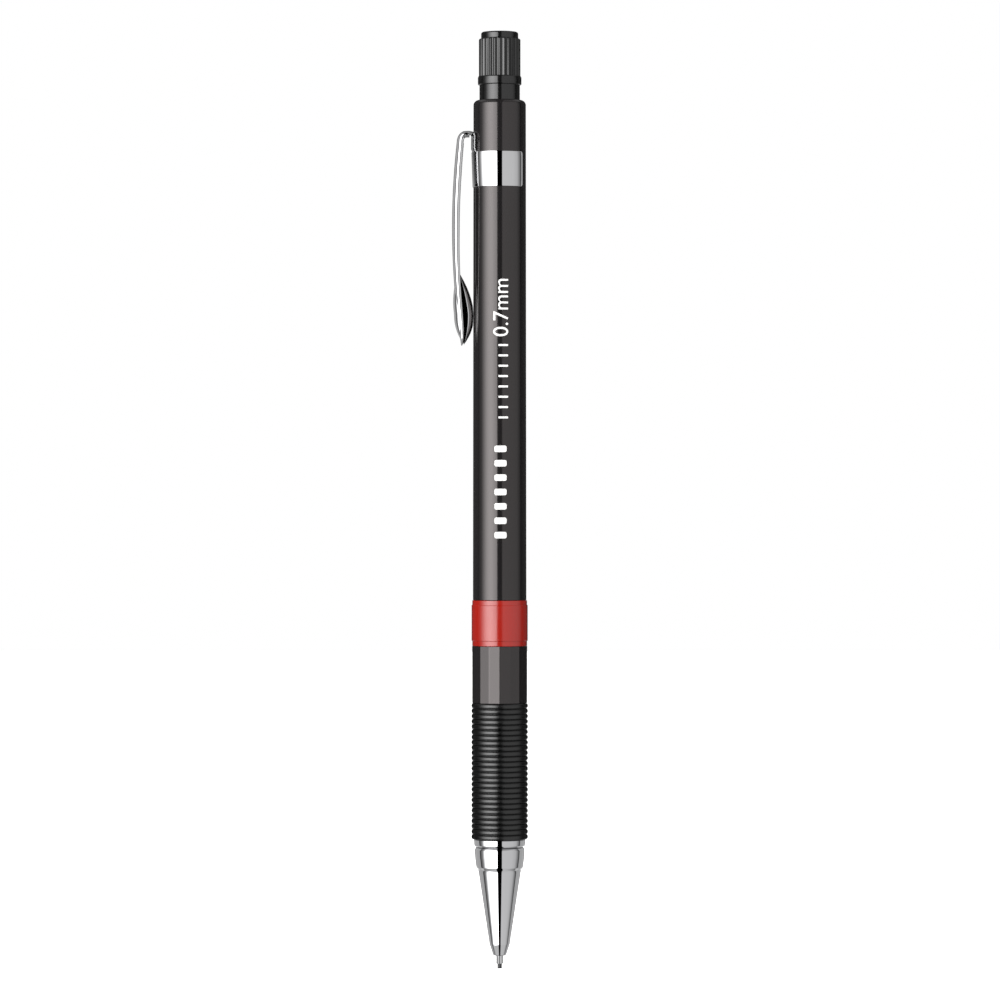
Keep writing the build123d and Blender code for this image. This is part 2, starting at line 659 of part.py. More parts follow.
PARTS = {
    "lead": lead(),
    "guide_pipe": guide_pipe(),
    "lead_retainer": lead_retainer(),
    "nose_cone": nose_cone(),
    "front_ferrule": front_ferrule(),
    "grip_sleeve": grip_sleeve(),
    "front_section": front_section(),
    "colour_collar": colour_collar(),
    "barrel": barrel(),
    "clip_band": clip_band(),
    "clip_arm": clip_arm(),
    "clutch_housing": clutch_housing(),
    "clutch_ring": clutch_ring(),
    "collet_base": collet_base(),
    "return_spring": return_spring(),
    "tube_connector": tube_connector(),
    "lead_reservoir": lead_reservoir(),
    "push_sleeve": push_sleeve(),
    "eraser_cup": eraser_cup(),
    "eraser": eraser(),
    "push_cap": push_cap(),
}
for jaw in range(JAW_COUNT):
    PARTS[f"collet_jaw_{jaw + 1}"] = collet_jaw(jaw)
for stored in range(SPARE_LEAD_COUNT):
    PARTS[f"spare_lead_{stored + 1}"] = spare_lead(stored)

for name, solid in PARTS.items():
    export_step(solid, f"parts/{name}.step")
    print(f"{name}: {solid.volume:.3f} mm3")
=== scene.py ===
"""Looks of a slim push-button mechanical pencil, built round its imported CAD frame.

The pencil stands on its lead tip. +Z runs from the tip to the cap and the clip is on the -X side. Sizes in the
classes are in millimetres, and each mesh is in metres, in its own place in the frame.
"""

import sys

import json
import logging
import math
from collections.abc import Callable, Iterable, Iterator, Sequence
from contextlib import contextmanager
from dataclasses import dataclass
from enum import Enum
from functools import partial

import bmesh
import bpy
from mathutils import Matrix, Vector

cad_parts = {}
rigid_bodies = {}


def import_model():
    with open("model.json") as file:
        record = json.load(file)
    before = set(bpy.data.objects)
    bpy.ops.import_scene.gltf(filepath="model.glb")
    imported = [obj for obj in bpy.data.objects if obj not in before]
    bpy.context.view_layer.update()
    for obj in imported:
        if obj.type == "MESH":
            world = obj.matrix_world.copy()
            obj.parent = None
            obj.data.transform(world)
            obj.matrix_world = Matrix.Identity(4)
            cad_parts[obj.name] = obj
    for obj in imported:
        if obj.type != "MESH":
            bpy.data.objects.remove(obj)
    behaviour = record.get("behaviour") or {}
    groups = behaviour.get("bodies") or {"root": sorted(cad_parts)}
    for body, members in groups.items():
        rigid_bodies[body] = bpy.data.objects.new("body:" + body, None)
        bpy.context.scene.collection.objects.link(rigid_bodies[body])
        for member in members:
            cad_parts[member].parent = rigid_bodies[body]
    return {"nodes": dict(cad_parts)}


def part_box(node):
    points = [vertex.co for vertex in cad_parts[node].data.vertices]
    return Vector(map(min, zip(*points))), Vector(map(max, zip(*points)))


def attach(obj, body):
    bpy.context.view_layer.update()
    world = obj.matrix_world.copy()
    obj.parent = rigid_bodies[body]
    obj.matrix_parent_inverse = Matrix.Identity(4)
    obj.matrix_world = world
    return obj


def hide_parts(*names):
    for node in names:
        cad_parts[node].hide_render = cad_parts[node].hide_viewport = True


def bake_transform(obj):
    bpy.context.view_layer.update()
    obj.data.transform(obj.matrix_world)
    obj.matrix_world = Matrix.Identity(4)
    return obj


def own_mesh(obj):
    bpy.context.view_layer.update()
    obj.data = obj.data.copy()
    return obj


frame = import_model()

MM = 0.001
MERGE = 1e-6
# How near a vertex has to lie to a height, an edge or a corner, in millimetres, to be picked by its place.
NEAR = 0.01
ROUND_STEPS = 128
LOG = logging.getLogger("pencil")

Station = tuple[float, float]
Test = Callable[[Vector], bool]


# ---------------------------------------------------------------- workshop


class Closing(Enum):
    """How the two ends of a drawn-up ring are closed."""

    CAPS = "caps"
    BRIDGE = "bridge"


class Lay(Enum):
    """Direction of the fine marks that shaping leaves on a surface."""

    NONE = "none"
    AROUND = "around"
    ALONG = "along"


def low_of(node: str) -> float:
    """Lowest height of a CAD node, in millimetres."""
    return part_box(node)[0].z / MM


def high_of(node: str) -> float:
    """Highest height of a CAD node, in millimetres."""
    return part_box(node)[1].z / MM


def take(piece: bpy.types.Object) -> None:
    """Makes one object the only selected and the active one."""
    bpy.ops.object.select_all(action="DESELECT")
    piece.select_set(True)
    bpy.context.view_layer.objects.active = piece


@contextmanager
def editing(piece: bpy.types.Object) -> Iterator[bpy.types.Mesh]:
    """Opens a piece in edit mode and closes it again.

    Args:
        piece: The mesh object to edit.

    Returns:
        The mesh while it is open.
    """
    take(piece)
    bpy.ops.object.mode_set(mode="EDIT")
    try:
        yield piece.data
    finally:
        bpy.ops.object.mode_set(mode="OBJECT")


def settle(name: str) -> bpy.types.Object:
    """Names the primitive just added and moves its place into its mesh."""
    bpy.ops.object.transform_apply(location=True, rotation=True, scale=True)
    piece = bpy.context.object
    piece.name = name
    piece.data.name = name
    return piece


def select_vertices(mesh: bpy.types.Mesh, test: Test) -> int:
    """Selects the vertices of an open mesh that pass a test of their place.

    Args:
        mesh: The mesh, in edit mode.
        test: Takes a vertex's place in millimetres.

    Returns:
        How many vertices are selected.
    """
    form = bmesh.from_edit_mesh(mesh)
    for part in (form.faces, form.edges, form.verts):
        for item in part:
            item.select = False
    for vertex in form.verts:
        vertex.select = test(vertex.co / MM)
    form.select_flush_mode()
    bmesh.update_edit_mesh(mesh)
    return sum(vertex.select for vertex in form.verts)


def pick_vertices(mesh: bpy.types.Mesh, numbers: Iterable[int]) -> None:
    """Selects the vertices of an open mesh that have these numbers and no others."""
    bpy.ops.mesh.select_all(action="DESELECT")
    form = bmesh.from_edit_mesh(mesh)
    form.verts.ensure_lookup_table()
    for number in numbers:
        form.verts[number].select = True
    form.select_flush_mode()
    bmesh.update_edit_mesh(mesh)


def clean_shell() -> None:
    """Merges doubles of the open mesh and turns its faces outwards."""
    bpy.ops.mesh.select_all(action="SELECT")
    bpy.ops.mesh.remove_doubles(threshold=MERGE)
    bpy.ops.mesh.normals_make_consistent(inside=False)


def modify(piece: bpy.types.Object, kind: str, **settings: object) -> None:
    """Adds one modifier to a piece and applies it.

    Args:
        piece: The object to change.
        kind: The modifier's type.
        settings: Its settings by name.
    """
    take(piece)
    modifier = piece.modifiers.new(kind.lower(), kind)
    for name, value in settings.items():
        setattr(modifier, name, value)
    bpy.ops.object.modifier_apply(modifier=modifier.name)


def break_edges(piece: bpy.types.Object, width: float, over: float = 25.0, segments: int = 3) -> None:
    """Rounds the sharp edges of a piece.

    Args:
        piece: The object to change.
        width: Width of the rounding in millimetres.
        over: Edges that turn by more than this many degrees are rounded.
        segments: Faces across each rounding.
    """
    modify(piece, "BEVEL", width=width * MM, segments=segments, limit_method="ANGLE",
           angle_limit=math.radians(over), use_clamp_overlap=True)


def smooth(piece: bpy.types.Object, under: float = 32.0) -> None:
    """Shades a piece smooth except over edges sharper than an angle in degrees."""
    take(piece)
    bpy.ops.object.shade_smooth_by_angle(angle=math.radians(under))


def arc(centre: Station, radii: Station, start: float, end: float, count: int) -> list[Station]:
    """Stations along an ellipse's arc.

    Args:
        centre: Its centre as radius and height.
        radii: Half sizes along radius and height.
        start: First angle in degrees, 0 outwards and 90 upwards.
        end: Last angle in degrees.
        count: Number of stations, both ends included.

    Returns:
        The stations in order.
    """
    angles = [math.radians(start + (end - start) * step / (count - 1)) for step in range(count)]
    return [(centre[0] + radii[0] * math.cos(a), centre[1] + radii[1] * math.sin(a)) for a in angles]


def soften(stations: Sequence[Station], width: float, steps: int = 4) -> list[Station]:
    """Rounds every corner of a closed profile.

    Args:
        stations: The profile's corners as radius and height.
        width: How far each rounding reaches from its corner, in millimetres.
        steps: Edges across each rounding.

    Returns:
        The rounded profile.
    """
    rounded = []
    under_half = 0.49
    for before, corner, after in zip([stations[-1], *stations[:-1]], stations, [*stations[1:], stations[0]]):
        ends = []
        for other in (before, after):
            share = min(width / math.dist(corner, other), under_half)
            ends.append([c + (o - c) * share for c, o in zip(corner, other)])
        for step in range(steps + 1):
            t = step / steps
            rounded.append(tuple((1 - t) ** 2 * a + 2 * t * (1 - t) * c + t ** 2 * b
                                 for a, c, b in zip(ends[0], corner, ends[1])))
    return rounded


def turn(name: str, stations: Sequence[Station], steps: int = ROUND_STEPS) -> bpy.types.Object:
    """Turns a round piece: draws its profile as a chain of edges and spins it round Z.

    Args:
        name: The piece's name.
        stations: Radius and height of each corner. A profile that starts and ends on the axis stays open there.
        steps: Faces round the piece.

    Returns:
        The closed piece.
    """
    bpy.ops.object.select_all(action="DESELECT")
    start = stations[0]
    bpy.ops.mesh.primitive_plane_add(size=MM, location=(start[0] * MM, 0, start[1] * MM))
    piece = settle(name)
    solid = stations[0][0] == 0 and stations[-1][0] == 0
    following = list(stations[1:]) + ([] if solid else [start])
    with editing(piece):
        bpy.ops.mesh.select_all(action="SELECT")
        bpy.ops.mesh.merge(type="COLLAPSE")
        for here, there in zip(stations, following):
            move = ((there[0] - here[0]) * MM, 0, (there[1] - here[1]) * MM)
            bpy.ops.mesh.extrude_region_move(TRANSFORM_OT_translate={"value": move})
        bpy.ops.mesh.select_all(action="SELECT")
        bpy.ops.mesh.remove_doubles(threshold=MERGE)
        bpy.ops.mesh.spin(steps=steps, angle=math.tau, center=(0, 0, 0), axis=(0, 0, 1))
        clean_shell()
    return piece


class DrawnRing:
    """A ring that is drawn up station by station. Its radius may vary round it in a repeating pattern."""

    def __init__(self, name: str, count: int, radii: Sequence[float], height: float) -> None:
        """Starts the ring.

        Args:
            name: The piece's name.
            count: Vertices round the ring.
            radii: Repeating pattern of radii round it, counted from +Y.
            height: Height of the first ring.
        """
        bpy.ops.object.select_all(action="DESELECT")
        bpy.ops.mesh.primitive_circle_add(vertices=count, radius=MM, location=(0, 0, height * MM))
        self.piece = settle(name)
        self.count = count
        self.height = height
        self.radii = [1.0] * len(radii)
        bpy.ops.object.mode_set(mode="EDIT")
        bpy.ops.mesh.select_all(action="SELECT")
        self.form(radii)

    def form(self, radii: Sequence[float]) -> None:
        """Gives the selected ring its radii, one phase of the pattern at a time."""
        wanted = list(radii) * (len(self.radii) // len(radii))
        form = bmesh.from_edit_mesh(self.piece.data)
        ring = [vertex for vertex in form.verts if vertex.select]
        step = math.tau / self.count
        for phase, radius in enumerate(wanted):
            for vertex in ring:
                place = round((math.atan2(vertex.co.y, vertex.co.x) - math.pi / 2) / step)
                vertex.select = place % len(wanted) == phase
            bmesh.update_edit_mesh(self.piece.data)
            share = radius / self.radii[phase]
            bpy.ops.transform.resize(value=(share, share, 1), center_override=(0, 0, self.height * MM))
        for vertex in ring:
            vertex.select = True
        form.select_flush_mode()
        bmesh.update_edit_mesh(self.piece.data)
        self.radii = wanted

    def draw(self, height: float, *radii: float) -> None:
        """Draws the ring on to the next height and forms it there."""
        move = (0, 0, (height - self.height) * MM)
        bpy.ops.mesh.extrude_region_move(TRANSFORM_OT_translate={"value": move})
        self.height = height
        if list(radii) != self.radii:
            self.form(radii)

    def close(self, closing: Closing) -> bpy.types.Object:
        """Closes both ends and leaves edit mode.

        Args:
            closing: Flat caps, or a bridge from the last ring back to the first.

        Returns:
            The closed piece.
        """
        mesh = self.piece.data
        form = bmesh.from_edit_mesh(mesh)
        last = {vertex.index for vertex in form.verts if vertex.select}
        if closing is Closing.CAPS:
            bpy.ops.mesh.edge_face_add()
        pick_vertices(mesh, set(range(self.count)) | (last if closing is Closing.BRIDGE else set()))
        if closing is Closing.CAPS:
            bpy.ops.mesh.edge_face_add()
        else:
            bpy.ops.mesh.bridge_edge_loops()
        clean_shell()
        bpy.ops.object.mode_set(mode="OBJECT")
        return self.piece


def fit(piece: bpy.types.Object, body: str, slot: str, material: bpy.types.Material, *nodes: str) -> None:
    """Dresses a finished piece, joins it to its CAD body and reports it.

    Args:
        piece: The finished object.
        body: The CAD body it moves with.
        slot: The record's material slot; not used.
        material: Its material.
        nodes: CAD nodes it stands for.
    """
    dress(piece, material)
    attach(piece, body)
    if nodes:
        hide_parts(*nodes)


def dress(piece: bpy.types.Object, material: bpy.types.Material) -> None:
    """Gives a piece its material and reports it."""
    piece.data.materials.clear()
    piece.data.materials.append(material)
    LOG.info("%-18s %7d faces  %s", piece.name, len(piece.data.polygons), material.name)


# ---------------------------------------------------------------- finishes


def linear(colour: str) -> tuple[float, float, float, float]:
    """Turns an sRGB hex colour into linear red, green, blue and alpha."""
    parts = [int(colour[i:i + 2], 16) / 255 for i in (1, 3, 5)]
    values = [p / 12.92 if p <= 0.04045 else ((p + 0.055) / 1.055) ** 2.4 for p in parts]
    return (*values, 1.0)


def per_mm(size: float) -> float:
    """Texture scale, in the frame's metres, of a pattern whose features are this many millimetres apart."""
    return 1 / (size * MM)


def add_node(tree: bpy.types.NodeTree, kind: str, inputs: dict | None = None,
             **settings: object) -> bpy.types.Node:
    """Adds one node with its settings and links.

    Args:
        tree: The node tree.
        kind: The node's type.
        inputs: Input sockets by name or number, each with a value or the output socket to link from.
        settings: The node's own settings.

    Returns:
        The new node.
    """
    node = tree.nodes.new(kind)
    for name, value in settings.items():
        setattr(node, name, value)
    for key, value in (inputs or {}).items():
        if isinstance(value, bpy.types.NodeSocket):
            tree.links.new(value, node.inputs[key])
        else:
            node.inputs[key].default_value = value
    return node


@dataclass(frozen=True)
class Finish:
    """One real material: its colour, its gloss and the fine marks of how it was made.

    colour and shade are the two ends of its slight colour variation. grain is the size of the fine marks in
    millimetres, relief their height, drift the size of the broad variation and spread how much the roughness
    varies.
    """

    name: str
    colour: str
    shade: str
    roughness: float
    grain: float
    relief: float
    drift: float = 5.0
    spread: float = 0.05
    metallic: float = 0.0
    ior: float = 1.5
    specular: float = 0.5
    lay: Lay = Lay.NONE
    tint: tuple[float, float, float] = (1.0, 1.0, 1.0)
    subsurface: float = 0.0

    def marks(self, tree: bpy.types.NodeTree, place: bpy.types.NodeSocket) -> bpy.types.NodeSocket:
        """Place of the fine marks, stretched along their lay."""
        drawn = 0.02
        scales = {Lay.NONE: (1, 1, 1), Lay.AROUND: (drawn, drawn, 1), Lay.ALONG: (1, 1, drawn)}
        return add_node(tree, "ShaderNodeMapping", {"Vector": place, "Scale": scales[self.lay]}).outputs[0]

    def material(self) -> bpy.types.Material:
        """Builds the material.

        Returns:
            A material whose colour, roughness and bump come from patterns in the piece's own millimetres.
        """
        if self.name in bpy.data.materials:
            return bpy.data.materials[self.name]
        made = bpy.data.materials.new(self.name)
        made.use_nodes = True
        tree = made.node_tree
        tree.nodes.clear()
        place = add_node(tree, "ShaderNodeTexCoord").outputs["Object"]
        broad = add_node(tree, "ShaderNodeTexNoise", {
            "Vector": place, "Scale": per_mm(self.drift), "Detail": 3.0, "Roughness": 0.55})
        fine = add_node(tree, "ShaderNodeTexNoise", {
            "Vector": self.marks(tree, place), "Scale": per_mm(self.grain), "Detail": 4.0, "Roughness": 0.6})
        colour = add_node(tree, "ShaderNodeMix", {
            0: broad.outputs["Fac"], 6: linear(self.colour), 7: linear(self.shade)}, data_type="RGBA")
        mixed = add_node(tree, "ShaderNodeMath", {
            0: broad.outputs["Fac"], 1: fine.outputs["Fac"]}, operation="MULTIPLY")
        gloss = add_node(tree, "ShaderNodeMapRange", {
            "Value": mixed.outputs[0], "From Min": 0.1, "From Max": 0.45,
            "To Min": max(0.0, self.roughness - self.spread), "To Max": self.roughness + self.spread})
        bump = add_node(tree, "ShaderNodeBump", {
            "Height": fine.outputs["Fac"], "Strength": 1.0, "Distance": self.relief * MM})
        shader = add_node(tree, "ShaderNodeBsdfPrincipled", {
            "Base Color": colour.outputs[2],
            "Metallic": self.metallic, "Roughness": gloss.outputs[0], "Normal": bump.outputs[0]})
        self.set_up(shader)
        add_node(tree, "ShaderNodeOutputMaterial", {"Surface": shader.outputs[0]})
        return made

    def set_up(self, shader: bpy.types.Node) -> None:
        """Sets the values that are the same all over on the shader's own sockets."""
        if not self.metallic:
            shader.inputs["IOR"].default_value = self.ior
            shader.inputs["Specular IOR Level"].default_value = self.specular
            shader.inputs["Specular Tint"].default_value = (*self.tint, 1.0)
        shader.inputs["Subsurface Weight"].default_value = self.subsurface
        shader.inputs["Subsurface Scale"].default_value = MM


@dataclass(frozen=True)
class Finishes:
    """The pencil's finishes, each made once."""

    # Bright chrome plate over polished brass: a near mirror with the faintest turning haze.
    chrome: Finish = Finish("chrome_plated_brass", "#B9B9BA", "#B4B4B6", 0.035, 0.05, 0.00001, spread=0.012,
                            metallic=1.0, lay=Lay.AROUND)
    # Chrome-plated spring steel sheet: pressed and tumbled, so its marks have no direction.
    clip_chrome: Finish = Finish("chrome_plated_spring_steel", "#BABABB", "#B5B5B6", 0.04, 0.12, 0.00002,
                                 spread=0.015, metallic=1.0)
    # Drawn stainless capillary tube: bright, with fine draw lines along it.
    steel: Finish = Finish("drawn_stainless_steel", "#CFCFD0", "#BDBDBF", 0.12, 0.03, 0.00006, drift=1.0,
                           metallic=1.0, lay=Lay.ALONG)
    # Hard-drawn spring wire: darker steel with draw lines.
    spring: Finish = Finish("spring_steel_wire", "#9C9CA0", "#84848A", 0.28, 0.05, 0.0002, drift=1.0,
                            metallic=1.0)
    # Gloss moulded ABS: deep black with the slight waviness of a polished mould.
    barrel: Finish = Finish("gloss_black_abs", "#1A1919", "#1D1B1C", 0.12, 2.5, 0.0006, drift=8.0, spread=0.02,
                            tint=(1.0, 0.93, 0.92))
    # Satin moulded ABS of the button: a fine spark-eroded mould grain dulls it a little.
    button: Finish = Finish("satin_black_abs", "#0E0E0E", "#121212", 0.13, 0.10, 0.00006, drift=4.0, spread=0.02)
    # Moulded nitrile rubber: near black, with a fine matt grain and a soft sheen on its ribs.
    grip: Finish = Finish("moulded_nitrile_rubber", "#040404", "#080808", 0.27, 0.09, 0.0010, drift=3.0,
                          spread=0.04)
    # Through-dyed ABS ring: a warm red that glows a little under its gloss.
    collar: Finish = Finish("gloss_red_abs", "#98180C", "#921509", 0.19, 1.5, 0.0005, drift=6.0, spread=0.03,
                            specular=0.6)
    # Fired graphite and resin lead: dark grey with a dull metal glint along its length.
    graphite: Finish = Finish("fired_graphite_lead", "#3A3A3C", "#2A2A2C", 0.42, 0.04, 0.0012, drift=0.6,
                              spread=0.08, metallic=0.35, lay=Lay.ALONG)
    # Free-cutting brass, turned and left bare: yellow metal with turning marks round it.
    brass: Finish = Finish("turned_brass", "#C9A45C", "#B48E48", 0.25, 0.06, 0.0006, drift=2.0, metallic=1.0,
                           lay=Lay.AROUND)
    # Unfilled polypropylene: milky and slightly see-through, with a waxy surface.
    natural: Finish = Finish("natural_polypropylene", "#D9DAD6", "#CBCCC8", 0.38, 0.3, 0.0010, drift=6.0,
                             ior=1.49, subsurface=0.3)
    # Silicone bush: soft and dull.
    bush: Finish = Finish("silicone_rubber", "#2C2C2E", "#242426", 0.60, 0.08, 0.0010, drift=1.0, ior=1.41)
    # Vinyl eraser: off-white and powdery, with tiny specks of filler.
    eraser: Finish = Finish("white_vinyl_eraser", "#ECEBE6", "#DEDCD4", 0.62, 0.15, 0.0040, drift=1.2,
                            subsurface=0.2)
    # Deep-drawn aluminium cup: satin, with draw marks along it.
    aluminium: Finish = Finish("drawn_aluminium", "#C8CACC", "#B4B6BA", 0.30, 0.05, 0.0004, drift=2.0,
                               metallic=1.0, lay=Lay.ALONG)
    # Pad-printed ink: opaque white film, a little duller than the gloss under it, with pinholes of the pad.
    ink: Finish = Finish("white_pad_print_ink", "#F4F3F1", "#E9E8E5", 0.38, 0.06, 0.0006, drift=0.8)


# ---------------------------------------------------------------- the pencil


@dataclass
class WritingEnd:
    """Lead, guide pipe and the chromed nose that screws into the grip."""

    lead_radius: float = 0.35
    lead_edge: float = 0.08
    pipe_radius: float = 0.50
    pipe_wall: float = 0.10
    pipe_lip: float = 0.04
    mouth_radius: float = 1.00
    break_radius: float = 1.53
    break_rise: float = 1.74
    taper_radius: float = 3.20
    taper_rise: float = 12.74
    band_radii: tuple[float, float, float] = (3.53, 3.72, 3.785)
    band_rises: tuple[float, float, float] = (13.40, 14.84, 16.01)
    groove_radius: float = 3.63
    groove_rise: float = 16.415
    spigot_radius: float = 2.80
    spigot_bore: float = 2.40
    thread_depth: float = 0.12
    thread_pitch: float = 0.50
    # Plain parts of the spigot in front of its thread and behind it.
    thread_margins: Station = (0.70, 0.30)
    # Where a thread ring reaches its crest, leaves it and is back at the root, from its own start.
    thread_rises: tuple[float, float, float] = (0.18, 0.27, 0.45)
    cavity_radius: float = 1.62
    # Heights over the bush at which the cavity starts to widen and has the spigot's bore.
    cavity_rises: Station = (3.75, 4.30)
    bush_radius: float = 1.18
    bush_play: float = 0.025
    pipe_seat: float = 0.53
    mouth_edge: float = 0.12
    # How far the step behind the taper reaches outwards and upwards.
    taper_step: Station = (0.08, 0.30)
    corner: float = 0.13

    def build(self, finish: Finishes) -> None:
        """Builds and fits the three pieces."""
        fit(self.lead(), "lead_in_use", "graphite", finish.graphite.material(), "lead")
        fit(self.pipe(), "nose_unit", "steel", finish.steel.material(), "guide_pipe")
        fit(self.cone(), "nose_unit", "chrome", finish.chrome.material(), "nose_cone")

    def lead(self) -> bpy.types.Object:
        """The lead in use, its tip a little worn."""
        low, high, radius, edge = low_of("lead"), high_of("lead"), self.lead_radius, self.lead_edge
        tip = arc((radius - edge, low + edge), (edge, edge), -90, 0, 5)
        piece = turn("writing_lead", [(0, low), *tip, (radius, high), (0, high)], 48)
        smooth(piece)
        return piece

    def pipe(self) -> bpy.types.Object:
        """The guide pipe with its burnished mouth."""
        low, high, lip = low_of("guide_pipe"), high_of("guide_pipe"), self.pipe_lip
        bore = self.pipe_radius - self.pipe_wall
        piece = turn("lead_guide_pipe", [
            (bore, low + lip), (bore + lip, low), (self.pipe_radius - lip, low), (self.pipe_radius, low + lip),
            (self.pipe_radius, high), (bore, high)], 64)
        smooth(piece, 50)
        return piece

    def cone(self) -> bpy.types.Object:
        """The turned cone, its rear band and the threaded spigot behind it."""
        low, top = low_of("nose_cone"), high_of("nose_cone")
        root = self.spigot_radius - self.thread_depth
        outside = [
            (self.pipe_seat, low), (self.mouth_radius - self.mouth_edge, low),
            (self.mouth_radius, low + self.mouth_edge), (self.break_radius, low + self.break_rise),
            (self.taper_radius, low + self.taper_rise),
            (self.taper_radius + self.taper_step[0], low + self.taper_rise + self.taper_step[1]),
            *[(radius, low + rise) for radius, rise in zip(self.band_radii, self.band_rises)],
            (self.groove_radius, low + self.groove_rise), (root, low + self.groove_rise)]
        first = low + self.groove_rise + self.thread_margins[0]
        crest, fall, end = self.thread_rises
        for ring in range(int((top - first - self.thread_margins[1]) / self.thread_pitch)):
            foot = first + ring * self.thread_pitch
            outside += [(root, foot), (self.spigot_radius, foot + crest), (self.spigot_radius, foot + fall),
                        (root, foot + end)]
        floor, ceiling = high_of("lead_retainer"), low_of("lead_retainer") - self.bush_play
        narrow, wide = self.cavity_rises
        inside = [
            (root, top), (self.spigot_bore, top), (self.spigot_bore, floor + wide),
            (self.cavity_radius, floor + narrow), (self.cavity_radius, floor), (self.bush_radius, floor),
            (self.bush_radius, ceiling), (self.pipe_seat, ceiling)]
        piece = turn("nose_cone_chromed", soften(outside + inside, self.corner))
        smooth(piece)
        return piece


@dataclass
class GripSection:
    """Chromed ferrule, ribbed rubber sleeve and the moulding with sixteen flats behind it."""

    ring_radii: Station = (3.85, 3.905)
    groove_radius: float = 3.63
    skirt_radii: Station = (3.10, 2.86)
    ring_top: float = 19.57
    ring_rise: float = 0.265
    corner: float = 0.10
    rib_count: int = 26
    rib_radius: float = 4.30
    valley_radius: float = 4.04
    valley_width: float = 0.02
    rib_points: int = 10
    sleeve_bore: float = 3.52
    corner_radius: float = 4.18
    flats: int = 16
    flats_low: float = 40.28
    flats_high: float = 48.90
    core_radius: float = 3.49
    core_bore: float = 3.13
    core_bore_high: float = 26.20
    rear_bore: float = 2.60
    spigot_radii: Station = (3.40, 2.90)
    spigot_root: float = 0.50
    flat_edge: float = 0.05

    def build(self, finish: Finishes) -> None:
        """Builds and fits the three pieces."""
        fit(self.ferrule(), "barrel_unit", "chrome", finish.chrome.material(), "front_ferrule")
        fit(self.sleeve(), "barrel_unit", "grip_rubber", finish.grip.material(), "grip_sleeve")
        fit(self.moulding(), "barrel_unit", "black_gloss", finish.barrel.material(), "front_section")

    def ferrule(self) -> bpy.types.Object:
        """The ring in front of the sleeve, with the skirt that takes the nose."""
        low, high = low_of("front_ferrule"), high_of("front_ferrule")
        piece = turn("grip_ferrule", soften([
            (self.skirt_radii[1], low), (self.groove_radius, low), (self.ring_radii[0], low + self.ring_rise),
            (self.ring_radii[1], self.ring_top), (self.skirt_radii[0], self.ring_top),
            (self.skirt_radii[0], high), (self.skirt_radii[1], high)], self.corner))
        smooth(piece)
        return piece

    def sleeve(self) -> bpy.types.Object:
        """The rubber sleeve: round ribs with narrow flat valleys."""
        low, high = low_of("grip_sleeve"), high_of("grip_sleeve")
        pitch = (high - low) / self.rib_count
        half = (pitch - self.valley_width) / 2
        stations = [(self.sleeve_bore, low)]
        for rib in range(self.rib_count):
            middle = (self.valley_radius, low + (rib + 0.5) * pitch)
            stations += arc(middle, (self.rib_radius - self.valley_radius, half), -90, 90, self.rib_points)
        stations.append((self.sleeve_bore, high))
        piece = turn("ribbed_grip", stations, 96)
        smooth(piece, 50)
        return piece

    def moulding(self) -> bpy.types.Object:
        """The faceted moulding with its core under the sleeve and its spigot in the barrel."""
        low, high = low_of("front_section"), high_of("front_section")
        per_flat = ROUND_STEPS // self.flats
        flat = self.corner_radius * math.cos(math.pi / self.flats)
        turns = [math.tau / ROUND_STEPS * step - math.pi / self.flats for step in range(per_flat)]
        facets = [flat / math.cos(angle) for angle in turns]
        core = [self.core_radius] * per_flat
        ring = DrawnRing("faceted_front", ROUND_STEPS, core, low)
        ring.draw(self.flats_low, *core)
        ring.draw(self.flats_low, *facets)
        ring.draw(self.flats_high, *facets)
        for height, radius in (
            (self.flats_high, self.spigot_radii[0]), (high, self.spigot_radii[0]),
            (high, self.spigot_radii[1]), (self.flats_high - self.spigot_root, self.spigot_radii[1]),
            (self.flats_high - self.spigot_root, self.rear_bore), (self.core_bore_high, self.rear_bore),
            (self.core_bore_high, self.core_bore), (low, self.core_bore),
        ):
            ring.draw(height, *([radius] * per_flat))
        piece = ring.close(Closing.BRIDGE)
        break_edges(piece, self.flat_edge, 15)
        smooth(piece, 12)
        return piece


@dataclass(frozen=True)
class BarRow:
    """A row of printed bars: where it starts, its spacing and the bars' width, left end and right end."""

    name: str
    low: float
    pitch: float
    count: int
    width: float
    sides: Station


